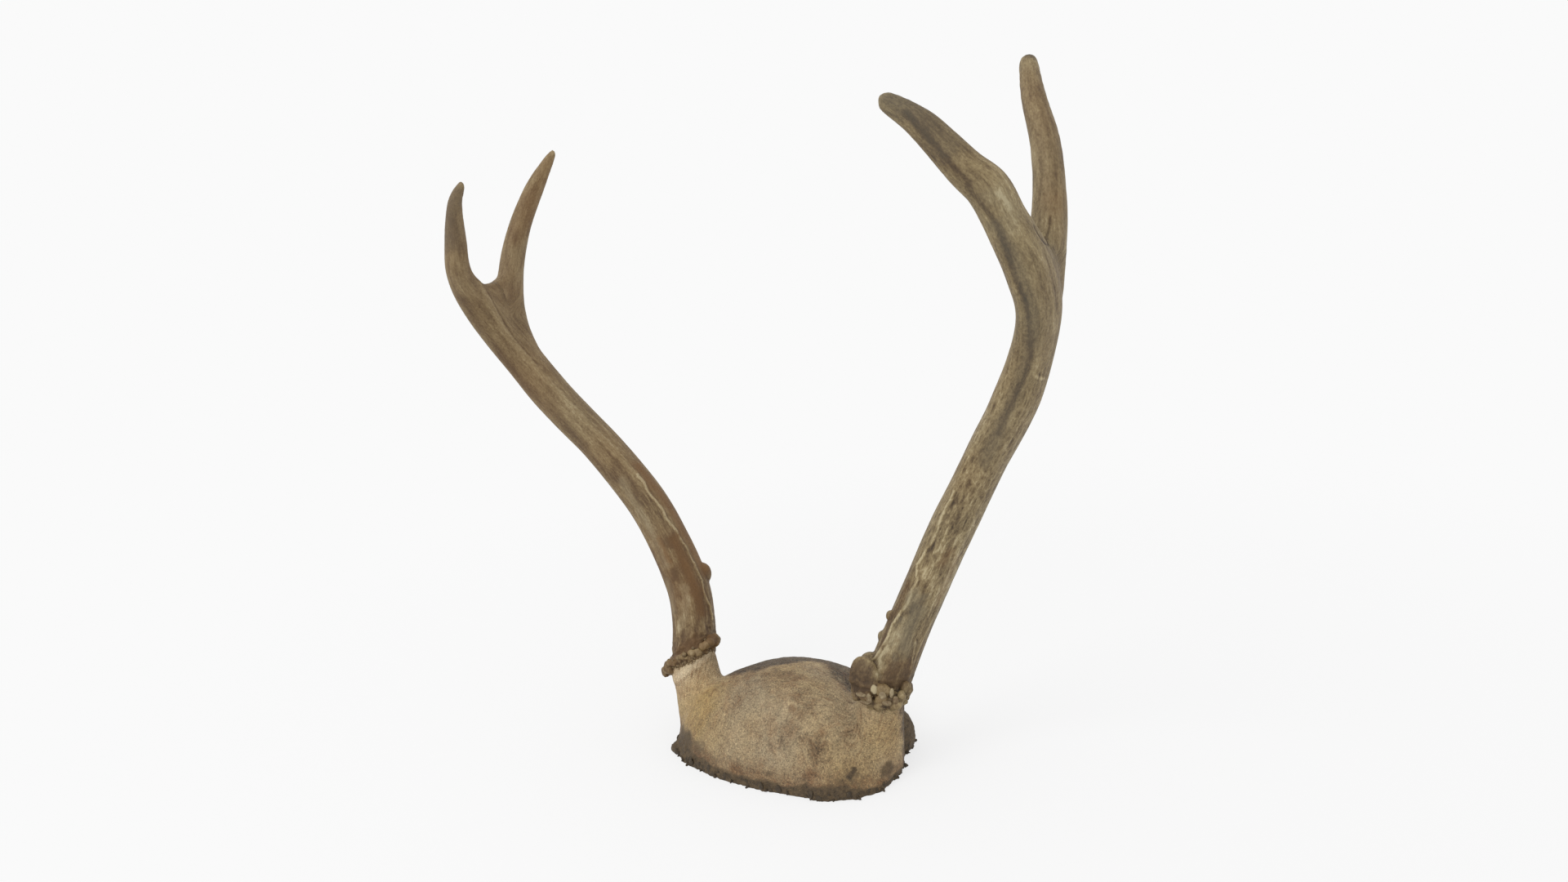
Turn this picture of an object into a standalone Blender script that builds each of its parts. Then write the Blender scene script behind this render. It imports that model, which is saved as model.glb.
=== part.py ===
"""Pair of forked deer antlers on a sawn skull plate, standing on the sawn face.

Front is -Y, the brow of the skull. Right and left are as seen from the front, so right is +X.
The origin is on the ground, under the middle of the whole object. Sizes are in millimetres and
are turned to metres where a mesh is made. Places are given for the right side and mirrored.
"""
import math
import random

import bmesh
import bpy
from mathutils import Matrix, Vector
from mathutils.noise import noise

MM = 0.001
COLLECTION = "forked_antlers"
GAP = 0.3
SIDES = {"right": 1, "left": -1}
# How far everything is moved along Y, so that the whole object is centred over the origin.
SET_BACK = -2.2

# The antlers: the seat of a burr on its pedicle, and the upward normal of that seat.
BURR_SEAT = {"right": Vector((36.5, 0, 25)), "left": Vector((38, 0, 25))}
BURR_NORMAL = Vector((0.33, -0.04, 0.94)).normalized()
BURR_RADIUS = {"right": 7.7, "left": 8.6}
BURR_HEIGHT = 4.6
PEARLS = 13
PEARL_RADIUS = (1.3, 2.2)

# Stations along a beam and its front tine, from just above the burr: place, thickness across,
# thickness front to back. The first station, at the seat of the burr, has the thickness below.
BEAM_FOOT = (14, 15)
BEAM = {
    "right": (
        ((42, 7, 40), 13, 16),
        ((47, 11, 52), 13, 16),
        ((60, 12, 76), 13, 15),
        ((74, 9, 98), 12, 15),
        ((88, 3, 118), 12, 16),
        ((98, -4, 138), 11, 18),
        ((100, -12, 152), 11, 16),
        ((98, -20, 165), 11, 11),
        ((96, -23, 172), 11, 10),
        ((92, -25, 177), 10, 9),
        ((84, -29, 188), 8, 7),
        ((77, -31, 194), 6, 5),
    ),
    "left": (
        ((42, 7, 40), 13, 16),
        ((47, 11, 52), 13, 16),
        ((59, 12, 76), 13, 15),
        ((74, 9, 98), 12, 15),
        ((88, 3, 118), 12, 15),
        ((97, -4, 138), 10, 16),
        ((99, -12, 152), 10, 14),
        ((97, -20, 165), 10, 11),
        ((91, -25, 177), 10, 9),
        ((83, -29, 188), 8, 7),
        ((76, -31, 194), 6, 5),
    ),
}
REAR_TINE = {
    "right": (
        ((95, 0, 132), 9, 12),
        ((99, -1, 148), 9, 12),
        ((100, 4, 165), 9, 9),
        ((98, 10, 180), 8, 8),
        ((93, 17, 193), 7, 7),
        ((90, 23, 202), 6, 6),
    ),
    "left": (
        ((95, 0, 132), 9, 12),
        ((99, -1, 148), 9, 12),
        ((100, 4, 165), 9, 9),
        ((98, 10, 180), 8, 8),
        ((94, 17, 193), 7, 7),
        ((90, 23, 203), 6, 6),
    ),
}
WEB = {"right": Vector((100, -7, 153)), "left": Vector((99, -5, 154))}
WEB_RADII = (4.6, 9, 8)
BEAM_RING = 24
STEPS = 4

# The left tines grow thinner than the right ones, down to this share of them at the tip.
TIP_SHARE = {"right": 0.9, "left": 0.62}
THINNING_STARTS_Z = 145
STOUTNESS = {"right": 1.0, "left": 1.03}

# Each rear tine is a piece of its own, parted from its beam just above the fork by a room
# that holds it: the middle and the size of that room.
TINE_ROOM = Vector((100, 22, 203))
TINE_ROOM_SIZE = Vector((40, 60, 80))

# A shallow channel runs along the front of each beam, between these heights.
CHANNEL_DEPTH = 0.14
CHANNEL_WIDTH = 0.5
CHANNEL_Z = (70, 160)

# Small nubs low on the inner side of a beam: place, radius.
NUBS = {
    "right": ((Vector((37, 4, 42)), 1.5), (Vector((40, 5, 49)), 1.3)),
    "left": ((Vector((42, 16, 51)), 2.7), (Vector((37, 10, 41)), 1.4)),
}
NUB_STRETCH = 1.4
# The largest knobs of the burrs, apart from their pearls.
KNOBS = {
    "right": (
        (Vector((44, -5, 26)), 2.4), (Vector((34, 0, 35)), 3.2), (Vector((46, 0, 28)), 1.9),
    ),
    "left": ((Vector((30, 3, 32)), 2.9), (Vector((46, -4, 24)), 2.6)),
}
# The right burr carries one broad flat lobe on its inner side.
LOBE = Vector((34, -5.5, 32.5))
LOBE_RADII = (5.4, 6.2, 2.4)
LOBE_FACES = Vector((-0.1, -0.97, 0.2))

# The skull plate: an oval dome, cut flat at the ground.
PLATE_HALF_WIDTH = {"front": 40, "back": 36.5}
PLATE_FRONT = 24.4
PLATE_BACK = 36
PLATE_HEIGHT = 27.6
PLATE_MIDDLE_Y = -1
PLATE_SQUARE = {"front": 2.8, "back": 2.2}
BRAINCASE_HALF_WIDTH = 31
BRAINCASE_FRONT = 15
BRAINCASE_BACK = 29
BRAINCASE_HEIGHT = 20
BRAINCASE_SQUARE = {"front": 2.3, "back": 2.1}
DOME_SEGMENTS = {"outside": 64, "inside": 36}
PEDICLE_FOOT = Vector((34, -3.5, 2))
PEDICLE_RADII = {"right": (8.6, 7.2), "left": (9.2, 7.9)}
TEMPLE_LUMP = Vector((33.5, 12, 4))
TEMPLE_LUMP_RADII = (5.5, 7, 9)
RIM_FLARE = 2.2
RIM_FLARE_HEIGHT = 3
RIM_WAVE = 1.2
SEAT_CUT_RADIUS = 13
SEAT_CUT_DEPTH = 20
GROUND_SIZE = 200

# How the forms are melted into one skin, and the share of its faces that is kept.
VOXEL = 1.3
SMOOTHING = {"plate": 10, "antler": 5}
KEPT = {"plate": 0.11, "antler": 0.12}


def clear_scene():
    for obj in list(bpy.data.objects):
        bpy.data.objects.remove(obj, do_unlink=True)


def new_collection(name):
    made = bpy.data.collections.new(name)
    bpy.context.scene.collection.children.link(made)
    return made


def principled(name, colour, roughness):
    material = bpy.data.materials.new(name)
    material.use_nodes = True
    shader = material.node_tree.nodes["Principled BSDF"]
    shader.inputs["Base Color"].default_value = (*colour, 1)
    shader.inputs["Roughness"].default_value = roughness
    shader.inputs["Metallic"].default_value = 0
    return material


def new_object(name, bm, collection, material=None):
    """Turn a bmesh in millimetres into an object in metres: a cutter, unless it has a material."""
    bmesh.ops.recalc_face_normals(bm, faces=bm.faces)
    bmesh.ops.scale(bm, vec=(MM, MM, MM), verts=bm.verts)
    bmesh.ops.translate(bm, vec=(0, SET_BACK * MM, 0), verts=bm.verts)
    mesh = bpy.data.meshes.new(name)
    bm.to_mesh(mesh)
    bm.free()
    mesh.shade_smooth()
    obj = bpy.data.objects.new(name, mesh)
    collection.objects.link(obj)
    if material:
        mesh.materials.append(material)
    else:
        obj.hide_render = True
        obj.display_type = "WIRE"
    return obj


def melt(obj, smoothing, kept):
    """Melt the object's overlapping forms into one smooth skin with few faces."""
    remesh = obj.modifiers.new("one_skin", "REMESH")
    remesh.mode = "VOXEL"
    remesh.voxel_size = VOXEL * MM
    smooth = obj.modifiers.new("soft_hollows", "SMOOTH")
    smooth.factor = 0.5
    smooth.iterations = smoothing
    obj.modifiers.new("fewer_faces", "DECIMATE").ratio = kept


def boolean(obj, operation, other):
    modifier = obj.modifiers.new(operation.lower(), "BOOLEAN")
    modifier.operation = operation
    modifier.object = other


def on_side(spot, side):
    """The same place or direction on the given side of the head."""
    return Vector((spot.x * SIDES[side], spot.y, spot.z))


def upright(way, spot):
    """A matrix that stands a form along way, at spot."""
    return Matrix.Translation(spot) @ way.to_track_quat("Z", "Y").to_matrix().to_4x4()


def ball(spot, radii, way=Vector((0, 0, 1)), subdivisions=2):
    """An ellipsoid with its third radius along way."""
    bm = bmesh.new()
    bmesh.ops.create_icosphere(
        bm, subdivisions=subdivisions, radius=1,
        matrix=upright(way, spot) @ Matrix.Diagonal((*radii, 1)),
    )
    return bm


def stub(start, end, radii, segments=24):
    """A closed cone or cylinder from start to end."""
    bm = bmesh.new()
    bmesh.ops.create_cone(
        bm, cap_ends=True, segments=segments, radius1=radii[0], radius2=radii[1],
        depth=(end - start).length, matrix=upright(end - start, (start + end) / 2),
    )
    return bm


def block(middle, size):
    """A box around middle."""
    bm = bmesh.new()
    shape = Matrix.Translation(middle) @ Matrix.Diagonal((*size, 1))
    bmesh.ops.create_cube(bm, size=1, matrix=shape)
    return bm


def joined(forms):
    """Several forms in one bmesh, each still a closed body."""
    whole = bmesh.new()
    for form in forms:
        mesh = bpy.data.meshes.new("form")
        form.to_mesh(mesh)
        form.free()
        whole.from_mesh(mesh)
        bpy.data.meshes.remove(mesh)
    return whole


def along(stations, t):
    """A point and two thicknesses on a smooth curve through the stations, t counted in stations."""
    last = len(stations) - 1
    i = min(int(t), last - 1)
    f = t - i
    spots = [Vector((*place, across)) for place, across, deep in stations]
    a, b, c, d = (spots[max(0, min(last, i + k))] for k in (-1, 0, 1, 2))
    point = (b + (c - a) * f / 2 + (2 * a - 5 * b + 4 * c - d) * f ** 2 / 2
             + (3 * b - 3 * c + d - a) * f ** 3 / 2)
    deep = stations[i][2] * (1 - f) + stations[i + 1][2] * f
    return point.to_3d(), point.w, deep


def girth(side, z, tip_z):
    """The share of the stated thickness that a limb of this side has at height z."""
    f = max(0.0, min(1.0, (z - THINNING_STARTS_Z) / (tip_z - THINNING_STARTS_Z)))
    return STOUTNESS[side] * (1 + (TIP_SHARE[side] - 1) * f ** 2)


def channel(angle, z):
    """The share of its radius that a section loses to the channel along the front."""
    low, high = CHANNEL_Z
    if not low < z < high:
        return 0.0
    fade = math.sin(math.pi * (z - low) / (high - low))
    away = (angle + math.pi / 2 + math.pi) % math.tau - math.pi
    return CHANNEL_DEPTH * fade * math.exp(-(away / CHANNEL_WIDTH) ** 2)


def limb(stations, side, grooved=False):
    """A closed loft of unlike oval sections along the stations, with a rounded tip."""
    last = len(stations) - 1
    tip_z = stations[-1][0][2]
    sections = []
    for k in range(last * STEPS + 1):
        t = k / STEPS
        here, across, deep = along(stations, t)
        way = along(stations, min(t + 0.05, last))[0] - along(stations, max(t - 0.05, 0))[0]
        sections.append((here, way.normalized(), across, deep))
    end, way, across, deep = sections[-1]
    for turn in map(math.radians, (30, 55, 75, 87)):
        reach = math.sin(turn) * across / 2
        sections.append((end + way * reach, way, across * math.cos(turn), deep * math.cos(turn)))
    bm = bmesh.new()
    loops = []
    for here, way, across, deep in sections:
        back = (Vector((0, 1, 0)) - way * way.y).normalized()
        out = back.cross(way)
        size = girth(side, here.z, tip_z)
        loop = []
        for j in range(BEAM_RING):
            angle = math.tau * j / BEAM_RING
            radius = size / 2 * (1 - channel(angle, here.z) * grooved)
            spot = here + out * across * radius * math.cos(angle)
            spot += back * deep * radius * math.sin(angle)
            loop.append(bm.verts.new(on_side(spot, side)))
        loops.append(loop)
    for lower, upper in zip(loops, loops[1:]):
        for j in range(BEAM_RING):
            k = (j + 1) % BEAM_RING
            bm.faces.new((lower[j], lower[k], upper[k], upper[j]))
    bm.faces.new(loops[0])
    bm.faces.new(loops[-1])
    return bm


def burr_lumps(side, seed):
    """The ring at the foot of an antler and the round pearls on it."""
    rng = random.Random(seed)
    normal = on_side(BURR_NORMAL, side)
    seat = on_side(BURR_SEAT[side], side)
    radius = BURR_RADIUS[side]
    lumps = [stub(seat, seat + normal * BURR_HEIGHT, (radius, radius - 0.8))]
    stand = upright(normal, seat)
    for k in range(PEARLS):
        angle = math.tau * (k + rng.uniform(-0.25, 0.25)) / PEARLS
        size = rng.uniform(*PEARL_RADIUS)
        height = size + rng.uniform(0.3, 1.8)
        spot = stand @ Vector((math.cos(angle) * radius, math.sin(angle) * radius, height))
        lumps.append(ball(spot, (size, size, size), subdivisions=1))
    if side == "right":
        lumps.append(ball(LOBE, LOBE_RADII, LOBE_FACES))
    for spot, size in KNOBS[side]:
        lumps.append(ball(on_side(spot, side), (size, size, size)))
    for spot, size in NUBS[side]:
        lumps.append(ball(on_side(spot, side), (size, size, size * NUB_STRETCH)))
    return lumps


def build_antler(side, parts, helpers, material, seed):
    """One antler as two pieces: the beam with its burr and front tine, and the rear tine."""
    web = ball(on_side(WEB[side], side), WEB_RADII, subdivisions=3)
    stations = ((tuple(BURR_SEAT[side]), *BEAM_FOOT), *BEAM[side])
    forms = joined([limb(stations, side, grooved=True), limb(REAR_TINE[side], side), web])
    beam = new_object(f"{side}_beam", forms, parts, material)
    melt(beam, SMOOTHING["antler"], KEPT["antler"])
    tine = beam.copy()
    tine.name = f"{side}_rear_tine"
    tine.data = beam.data.copy()
    parts.objects.link(tine)
    room = block(on_side(TINE_ROOM, side), TINE_ROOM_SIZE)
    boolean(beam, "DIFFERENCE", new_object(f"{side}_tine_room", room, helpers))
    own = block(on_side(TINE_ROOM + Vector((0, GAP, GAP)), side), TINE_ROOM_SIZE)
    boolean(tine, "INTERSECT", new_object(f"{side}_tine_own", own, helpers))
    for k, lump in enumerate(burr_lumps(side, seed)):
        boolean(beam, "UNION", new_object(f"{side}_lump_{k}", lump, helpers))
    # The burr sits flat on the pedicle.
    normal = on_side(BURR_NORMAL, side)
    seat = on_side(BURR_SEAT[side], side)
    under = stub(seat - normal * SEAT_CUT_DEPTH, seat, (SEAT_CUT_RADIUS, SEAT_CUT_RADIUS))
    boolean(beam, "DIFFERENCE", new_object(f"{side}_burr_sole", under, helpers))


def oval_dome(half_width, front, back, height, square, segments):
    """A sphere shaped to a rounded oval in plan, with its own reach to the front and the back."""
    bm = bmesh.new()
    bmesh.ops.create_uvsphere(bm, u_segments=segments, v_segments=segments // 2, radius=1)
    for vert in bm.verts:
        x, y, z = vert.co
        power = square["front" if y < 0 else "back"]
        flat = math.hypot(x, y)
        if flat > 1e-6:
            oval = ((abs(x) / flat) ** power + (abs(y) / flat) ** power) ** (-1 / power)
            x, y = x * oval, y * oval
        y *= front if y < 0 else back
        behind = max(0.0, min(1.0, y / 6))
        wide = half_width["front"] + (half_width["back"] - half_width["front"]) * behind
        vert.co = (x * wide, PLATE_MIDDLE_Y + y, z * height)
    return bm


def ragged_rim(bm):
    """Flare the foot of the plate and make its outline wander."""
    for vert in bm.verts:
        flat = Vector((vert.co.x, vert.co.y, 0))
        if flat.length < 1:
            continue
        near_rim = math.exp(-((vert.co.z / RIM_FLARE_HEIGHT) ** 2))
        wave = noise(flat * 0.16) + 0.6 * noise(flat * 0.5)
        vert.co += flat.normalized() * near_rim * (RIM_FLARE + RIM_WAVE * wave)


def build_plate(parts, helpers, material):
    dome = oval_dome(
        PLATE_HALF_WIDTH, PLATE_FRONT, PLATE_BACK, PLATE_HEIGHT, PLATE_SQUARE,
        DOME_SEGMENTS["outside"],
    )
    ragged_rim(dome)
    forms = [dome]
    for side in SIDES:
        top = BURR_SEAT[side] + BURR_NORMAL * 3
        forms.append(stub(on_side(PEDICLE_FOOT, side), on_side(top, side), PEDICLE_RADII[side]))
        forms.append(ball(on_side(TEMPLE_LUMP, side), TEMPLE_LUMP_RADII, subdivisions=3))
    plate = new_object("skull_plate", joined(forms), parts, material)
    melt(plate, SMOOTHING["plate"], KEPT["plate"])
    inside = oval_dome(
        {"front": BRAINCASE_HALF_WIDTH, "back": BRAINCASE_HALF_WIDTH},
        BRAINCASE_FRONT, BRAINCASE_BACK, BRAINCASE_HEIGHT, BRAINCASE_SQUARE,
        DOME_SEGMENTS["inside"],
    )
    boolean(plate, "DIFFERENCE", new_object("braincase_hollow", inside, helpers))
    ground = block(Vector((0, 0, -GROUND_SIZE / 2)), Vector((1, 1, 1)) * GROUND_SIZE)
    boolean(plate, "DIFFERENCE", new_object("saw_cut", ground, helpers))
    for side in SIDES:
        normal = on_side(BURR_NORMAL, side)
        seat = on_side(BURR_SEAT[side], side) - normal * GAP
        above = stub(seat, seat + normal * SEAT_CUT_DEPTH, (SEAT_CUT_RADIUS, SEAT_CUT_RADIUS))
        boolean(plate, "DIFFERENCE", new_object(f"{side}_burr_seat", above, helpers))


def main():
    clear_scene()
    parts = new_collection(COLLECTION)
    helpers = new_collection("helpers")
    helpers.hide_render = True
    bone = principled("skull_bone", (0.40, 0.30, 0.18), 0.75)
    antler = principled("antler", (0.22, 0.15, 0.09), 0.6)
    build_plate(parts, helpers, bone)
    for seed, side in enumerate(SIDES, start=3):
        build_antler(side, parts, helpers, antler, seed)


main()
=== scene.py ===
"""Forked deer antlers on a sawn skull plate: the looks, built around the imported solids.

Front is -Y, the brow of the skull. Right and left are as seen from the front, so right is +X.
Forms are worked in millimetres, in the same places as the part's own named stations, and are
turned to metres where a piece is finished.
"""

import logging
import math
from collections.abc import Callable, Sequence
from dataclasses import dataclass, field
from enum import Enum

import bmesh
import bpy
import numpy as np
from bmesh.types import BMesh
from bpy.types import ID, Material, Mesh, Node, NodeSocket, NodeTree, Object
from mathutils import Matrix, Vector
from mathutils.kdtree import KDTree


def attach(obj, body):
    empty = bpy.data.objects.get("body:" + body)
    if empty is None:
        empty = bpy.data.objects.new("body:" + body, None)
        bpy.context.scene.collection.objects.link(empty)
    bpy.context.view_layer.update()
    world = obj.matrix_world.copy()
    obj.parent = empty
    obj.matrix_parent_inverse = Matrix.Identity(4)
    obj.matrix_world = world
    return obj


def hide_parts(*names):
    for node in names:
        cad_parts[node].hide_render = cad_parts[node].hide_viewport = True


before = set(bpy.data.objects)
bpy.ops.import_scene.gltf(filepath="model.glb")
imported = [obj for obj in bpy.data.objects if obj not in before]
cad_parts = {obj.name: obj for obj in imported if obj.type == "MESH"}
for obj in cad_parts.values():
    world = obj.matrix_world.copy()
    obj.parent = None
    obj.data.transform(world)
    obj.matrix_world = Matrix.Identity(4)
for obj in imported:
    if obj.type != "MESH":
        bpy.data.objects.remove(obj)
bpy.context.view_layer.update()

LOG = logging.getLogger("antlers")
MM = 0.001
# How far everything is moved along Y, in millimetres, as in the part's own source.
SET_BACK = -2.2
# In millimetres: lumps stop this far above the ground, and bone below it counts as the cut.
NEAR_GROUND = 0.02
Spot = tuple[float, float, float]
# Places along a limb, each with its thickness across and its thickness front to back.
Stations = tuple[tuple[Spot, float, float], ...]

# How a net's cells are bent out of shape: the scale of the bend, and its strength in cells.
NET_BEND_SCALE = 0.7
NET_BEND = 1.1
# The width of a net's lines in cells, and half the range that a cloudy pattern's values cover.
NET_LINE = 0.4
CLOUD_SPREAD = 0.3


class Side(Enum):
    """The two sides of the head, named as seen from the brow."""

    RIGHT = "right"
    LEFT = "left"

    @property
    def sign(self) -> int:
        """1 on the right and -1 on the left."""
        return 1 if self is Side.RIGHT else -1

    def of(self, spot: Sequence[float]) -> Vector:
        """The place on this side that answers to one given for the right side."""
        return Vector((spot[0] * self.sign, spot[1], spot[2]))


def linear(shade: str) -> tuple[float, float, float, float]:
    """Turn an sRGB hex colour into a linear one.

    Args:
        shade: The colour as #rrggbb.

    Returns:
        Linear red, green and blue, and an alpha of 1.
    """
    parts = [int(shade[k:k + 2], 16) / 255 for k in (1, 3, 5)]
    red, green, blue = (c / 12.92 if c <= 0.04045 else ((c + 0.055) / 1.055) ** 2.4 for c in parts)
    return red, green, blue, 1.0


def feed(tree: NodeTree, node: Node, inputs: dict) -> None:
    """Set or link the inputs of a node.

    Args:
        tree: The tree that the node is in.
        node: The node.
        inputs: Input name or number, and its value, or the socket or the node that feeds it.
    """
    for key, value in inputs.items():
        if isinstance(value, Node):
            value = value.outputs[0]
        if isinstance(value, NodeSocket):
            tree.links.new(value, node.inputs[key])
        else:
            node.inputs[key].default_value = value


def add_node(tree: NodeTree, kind: str, inputs: dict | None = None, **settings: object) -> Node:
    """Add a node with its settings, values and links.

    Args:
        tree: The tree to add to.
        kind: The node's type name.
        inputs: The node's inputs, as feed takes them.
        **settings: Properties of the node itself.

    Returns:
        The new node.
    """
    made = tree.nodes.new(kind)
    for name, value in settings.items():
        setattr(made, name, value)
    feed(tree, made, inputs or {})
    return made


def linked(name: str, data: ID) -> Object:
    """Make an object and put it in the scene.

    Args:
        name: The object's name.
        data: Its mesh, light or camera.

    Returns:
        The object.
    """
    made = bpy.data.objects.new(name, data)
    bpy.context.scene.collection.objects.link(made)
    return made


def new_material(name: str) -> tuple[Material, NodeTree, Node]:
    """Start a material that is made of nodes.

    Args:
        name: The material's name.

    Returns:
        The material, its node tree and its Principled shader.
    """
    made = bpy.data.materials.new(name)
    made.use_nodes = True
    return made, made.node_tree, made.node_tree.nodes["Principled BSDF"]


@dataclass(frozen=True)
class Layer:
    """One layer of a surface pattern.

    Size is in millimetres, stretch draws the pattern out along the piece's grain, sharp hardens
    its edges, and a net is pale lines round dark cells. Tone and height say how much it colours
    and lifts the surface, and by names a value painted on the piece that scales it.
    """

    size: float
    tone: float = 0.0
    height: float = 0.0
    stretch: float = 0.0
    sharp: float = 1.0
    net: bool = False
    by: str = ""


def add_layers(tree: NodeTree, layers: Sequence[Layer]) -> list[Node]:
    """Add up layers of pattern.

    Args:
        tree: The material's tree.
        layers: The layers.

    Returns:
        The node with the sum of their tones, and the node with the sum of their heights.
    """
    place = add_node(tree, "ShaderNodeTexCoord").outputs["Object"]
    grain = add_node(tree, "ShaderNodeAttribute", attribute_name="grain").outputs["Vector"]
    sums = [add_node(tree, "ShaderNodeMath", {0: 0.0, 1: 0.0}, operation="ADD") for _ in range(2)]
    for layer in layers:
        across = 1 / (layer.size * MM)
        along = across / layer.stretch if layer.stretch else across
        spot = {0: grain if layer.stretch else place, 1: (across, across, along)}
        spot = add_node(tree, "ShaderNodeVectorMath", spot, operation="MULTIPLY")
        if layer.net:
            bend = add_node(tree, "ShaderNodeTexNoise", {"Vector": spot, "Scale": NET_BEND_SCALE})
            bent = {0: bend.outputs["Color"], 1: (NET_BEND,) * 3, 2: spot}
            bent = add_node(tree, "ShaderNodeVectorMath", bent, operation="MULTIPLY_ADD")
            cell = {"Vector": bent, "Scale": 1.0}
            cell = add_node(tree, "ShaderNodeTexVoronoi", cell, feature="DISTANCE_TO_EDGE")
            reach = {"From Min": 0.0, "From Max": NET_LINE / layer.sharp, "To Min": 0.5, "To Max": -0.5}
        else:
            cell = {"Vector": spot, "Scale": 1.0, "Detail": 3.0, "Roughness": 0.6}
            cell = add_node(tree, "ShaderNodeTexNoise", cell)
            half = CLOUD_SPREAD / layer.sharp
            reach = {"From Min": 0.5 - half, "From Max": 0.5 + half, "To Min": -0.5, "To Max": 0.5}
        found = add_node(tree, "ShaderNodeMapRange", {"Value": cell, **reach})
        if layer.by:
            scale = add_node(tree, "ShaderNodeAttribute", attribute_name=layer.by).outputs["Fac"]
            found = add_node(tree, "ShaderNodeMath", {0: found, 1: scale}, operation="MULTIPLY")
        for k, amount in enumerate((layer.tone, layer.height)):
            if amount:
                more = {0: found, 1: amount, 2: sums[k]}
                sums[k] = add_node(tree, "ShaderNodeMath", more, operation="MULTIPLY_ADD")
    return sums


def step(low: float, high: float, values: np.ndarray) -> np.ndarray:
    """Values turned to a smooth rise from 0 at low to 1 at high."""
    share = np.clip((values - low) / (high - low), 0, 1)
    return share * share * (3 - 2 * share)


class Noise:
    """Smooth noise over points, the same on every run."""

    CELLS = 256
    # The first two bring one layer and a sum of layers to about -1 to 1. The third narrows a ridge.
    GAIN = 1.6
    LAYERED_REACH = 1.4
    RIDGE_GAIN = 2.2
    # How far apart in the noise the layers of a sum are taken, so that they never line up.
    LAYER_SHIFT = 31.7

    def __init__(self, seed: int) -> None:
        """Draw the slopes of the noise.

        Args:
            seed: The number that fixes the draw.
        """
        rng = np.random.default_rng(seed)
        self._order = rng.permutation(self.CELLS)
        slopes = rng.normal(size=(self.CELLS, 3))
        self._slopes = slopes / np.linalg.norm(slopes, axis=1, keepdims=True)

    def at(self, places: np.ndarray, wavelength: float) -> np.ndarray:
        """One layer of noise.

        Args:
            places: Points, one a row.
            wavelength: Size of the noise's lumps, in the unit of the points.

        Returns:
            A value for each point, from about -1 to 1.
        """
        spots = places / wavelength
        cell = np.floor(spots).astype(int)
        part = spots - cell
        fade = part ** 3 * (part * (part * 6 - 15) + 10)
        total = np.zeros(len(spots))
        for corner in np.ndindex(2, 2, 2):
            x, y, z = ((cell + corner) % self.CELLS).T
            pick = self._order[(self._order[(self._order[x] + y) % self.CELLS] + z) % self.CELLS]
            slope = ((part - corner) * self._slopes[pick]).sum(axis=1)
            total += slope * np.prod(np.where(corner, fade, 1 - fade), axis=1)
        return total * self.GAIN

    def layered(self, places: np.ndarray, wavelength: float, layers: int = 3) -> np.ndarray:
        """Noise with finer and weaker layers on top.

        Args:
            places: Points, one a row.
            wavelength: Size of the largest lumps. Each layer halves it.
            layers: How many layers there are.

        Returns:
            A value for each point, from about -1 to 1.
        """
        total = np.zeros(len(places))
        for layer in range(layers):
            total += self.at(places + self.LAYER_SHIFT * layer, wavelength / 2 ** layer) / 2 ** layer
        return total / self.LAYERED_REACH

    def ridges(self, places: np.ndarray, wavelength: float) -> np.ndarray:
        """Narrow crests at 1 with wide hollows down to about 0 between them."""
        return 1 - np.clip(np.abs(self.at(places, wavelength)) * self.RIDGE_GAIN, 0, 1)


def smooth_curve(spots: np.ndarray, steps: int) -> np.ndarray:
    """Rows on a smooth curve through the given rows.

    Args:
        spots: The rows to pass through.
        steps: Rows from each given one to the next.

    Returns:
        The rows of the curve, from the first given one to the last.
    """
    last = len(spots) - 1
    rows = []
    for k in range(last * steps + 1):
        i = min(k // steps, last - 1)
        f = k / steps - i
        a, b, c, d = (spots[max(0, min(last, i + n))] for n in (-1, 0, 1, 2))
        rows.append(b + (c - a) * f / 2 + (2 * a - 5 * b + 4 * c - d) * f ** 2 / 2
                    + (3 * b - 3 * c + d - a) * f ** 3 / 2)
    return np.array(rows)


def upright(way: Vector, spot: Vector) -> Matrix:
    """A matrix that stands a form along way, at spot."""
    return Matrix.Translation(spot) @ way.to_track_quat("Z", "Y").to_matrix().to_4x4()


def ball(
    spot: Sequence[float], radii: Sequence[float], way: Sequence[float] = (0, 0, 1)
) -> BMesh:
    """An ellipsoid.

    Args:
        spot: Its middle.
        radii: Its three radii.
        way: The direction of the third radius.

    Returns:
        The form.
    """
    form = bmesh.new()
    shape = upright(Vector(way), Vector(spot)) @ Matrix.Diagonal((*radii, 1))
    bmesh.ops.create_icosphere(form, subdivisions=4, radius=1, matrix=shape)
    return form


def stub(start: Vector, end: Vector, radii: Sequence[float]) -> BMesh:
    """A closed cone or cylinder.

    Args:
        start: The middle of its foot.
        end: The middle of its top.
        radii: The radius of its foot and of its top.

    Returns:
        The form.
    """
    form = bmesh.new()
    bmesh.ops.create_cone(
        form, cap_ends=True, segments=48, radius1=radii[0], radius2=radii[1],
        depth=(end - start).length, matrix=upright(end - start, (start + end) / 2),
    )
    return form


def mesh_of(forms: Sequence[BMesh], name: str) -> Mesh:
    """Join forms in one mesh, each still a body of its own, facing out.

    Args:
        forms: The forms. They are used up.
        name: The name of the mesh.

    Returns:
        The mesh.
    """
    gathered = bmesh.new()
    for form in forms:
        bmesh.ops.recalc_face_normals(form, faces=form.faces)
        part = bpy.data.meshes.new("form")
        form.to_mesh(part)
        form.free()
        gathered.from_mesh(part)
        bpy.data.meshes.remove(part)
    whole = bpy.data.meshes.new(name)
    gathered.to_mesh(whole)
    gathered.free()
    return whole


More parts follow.
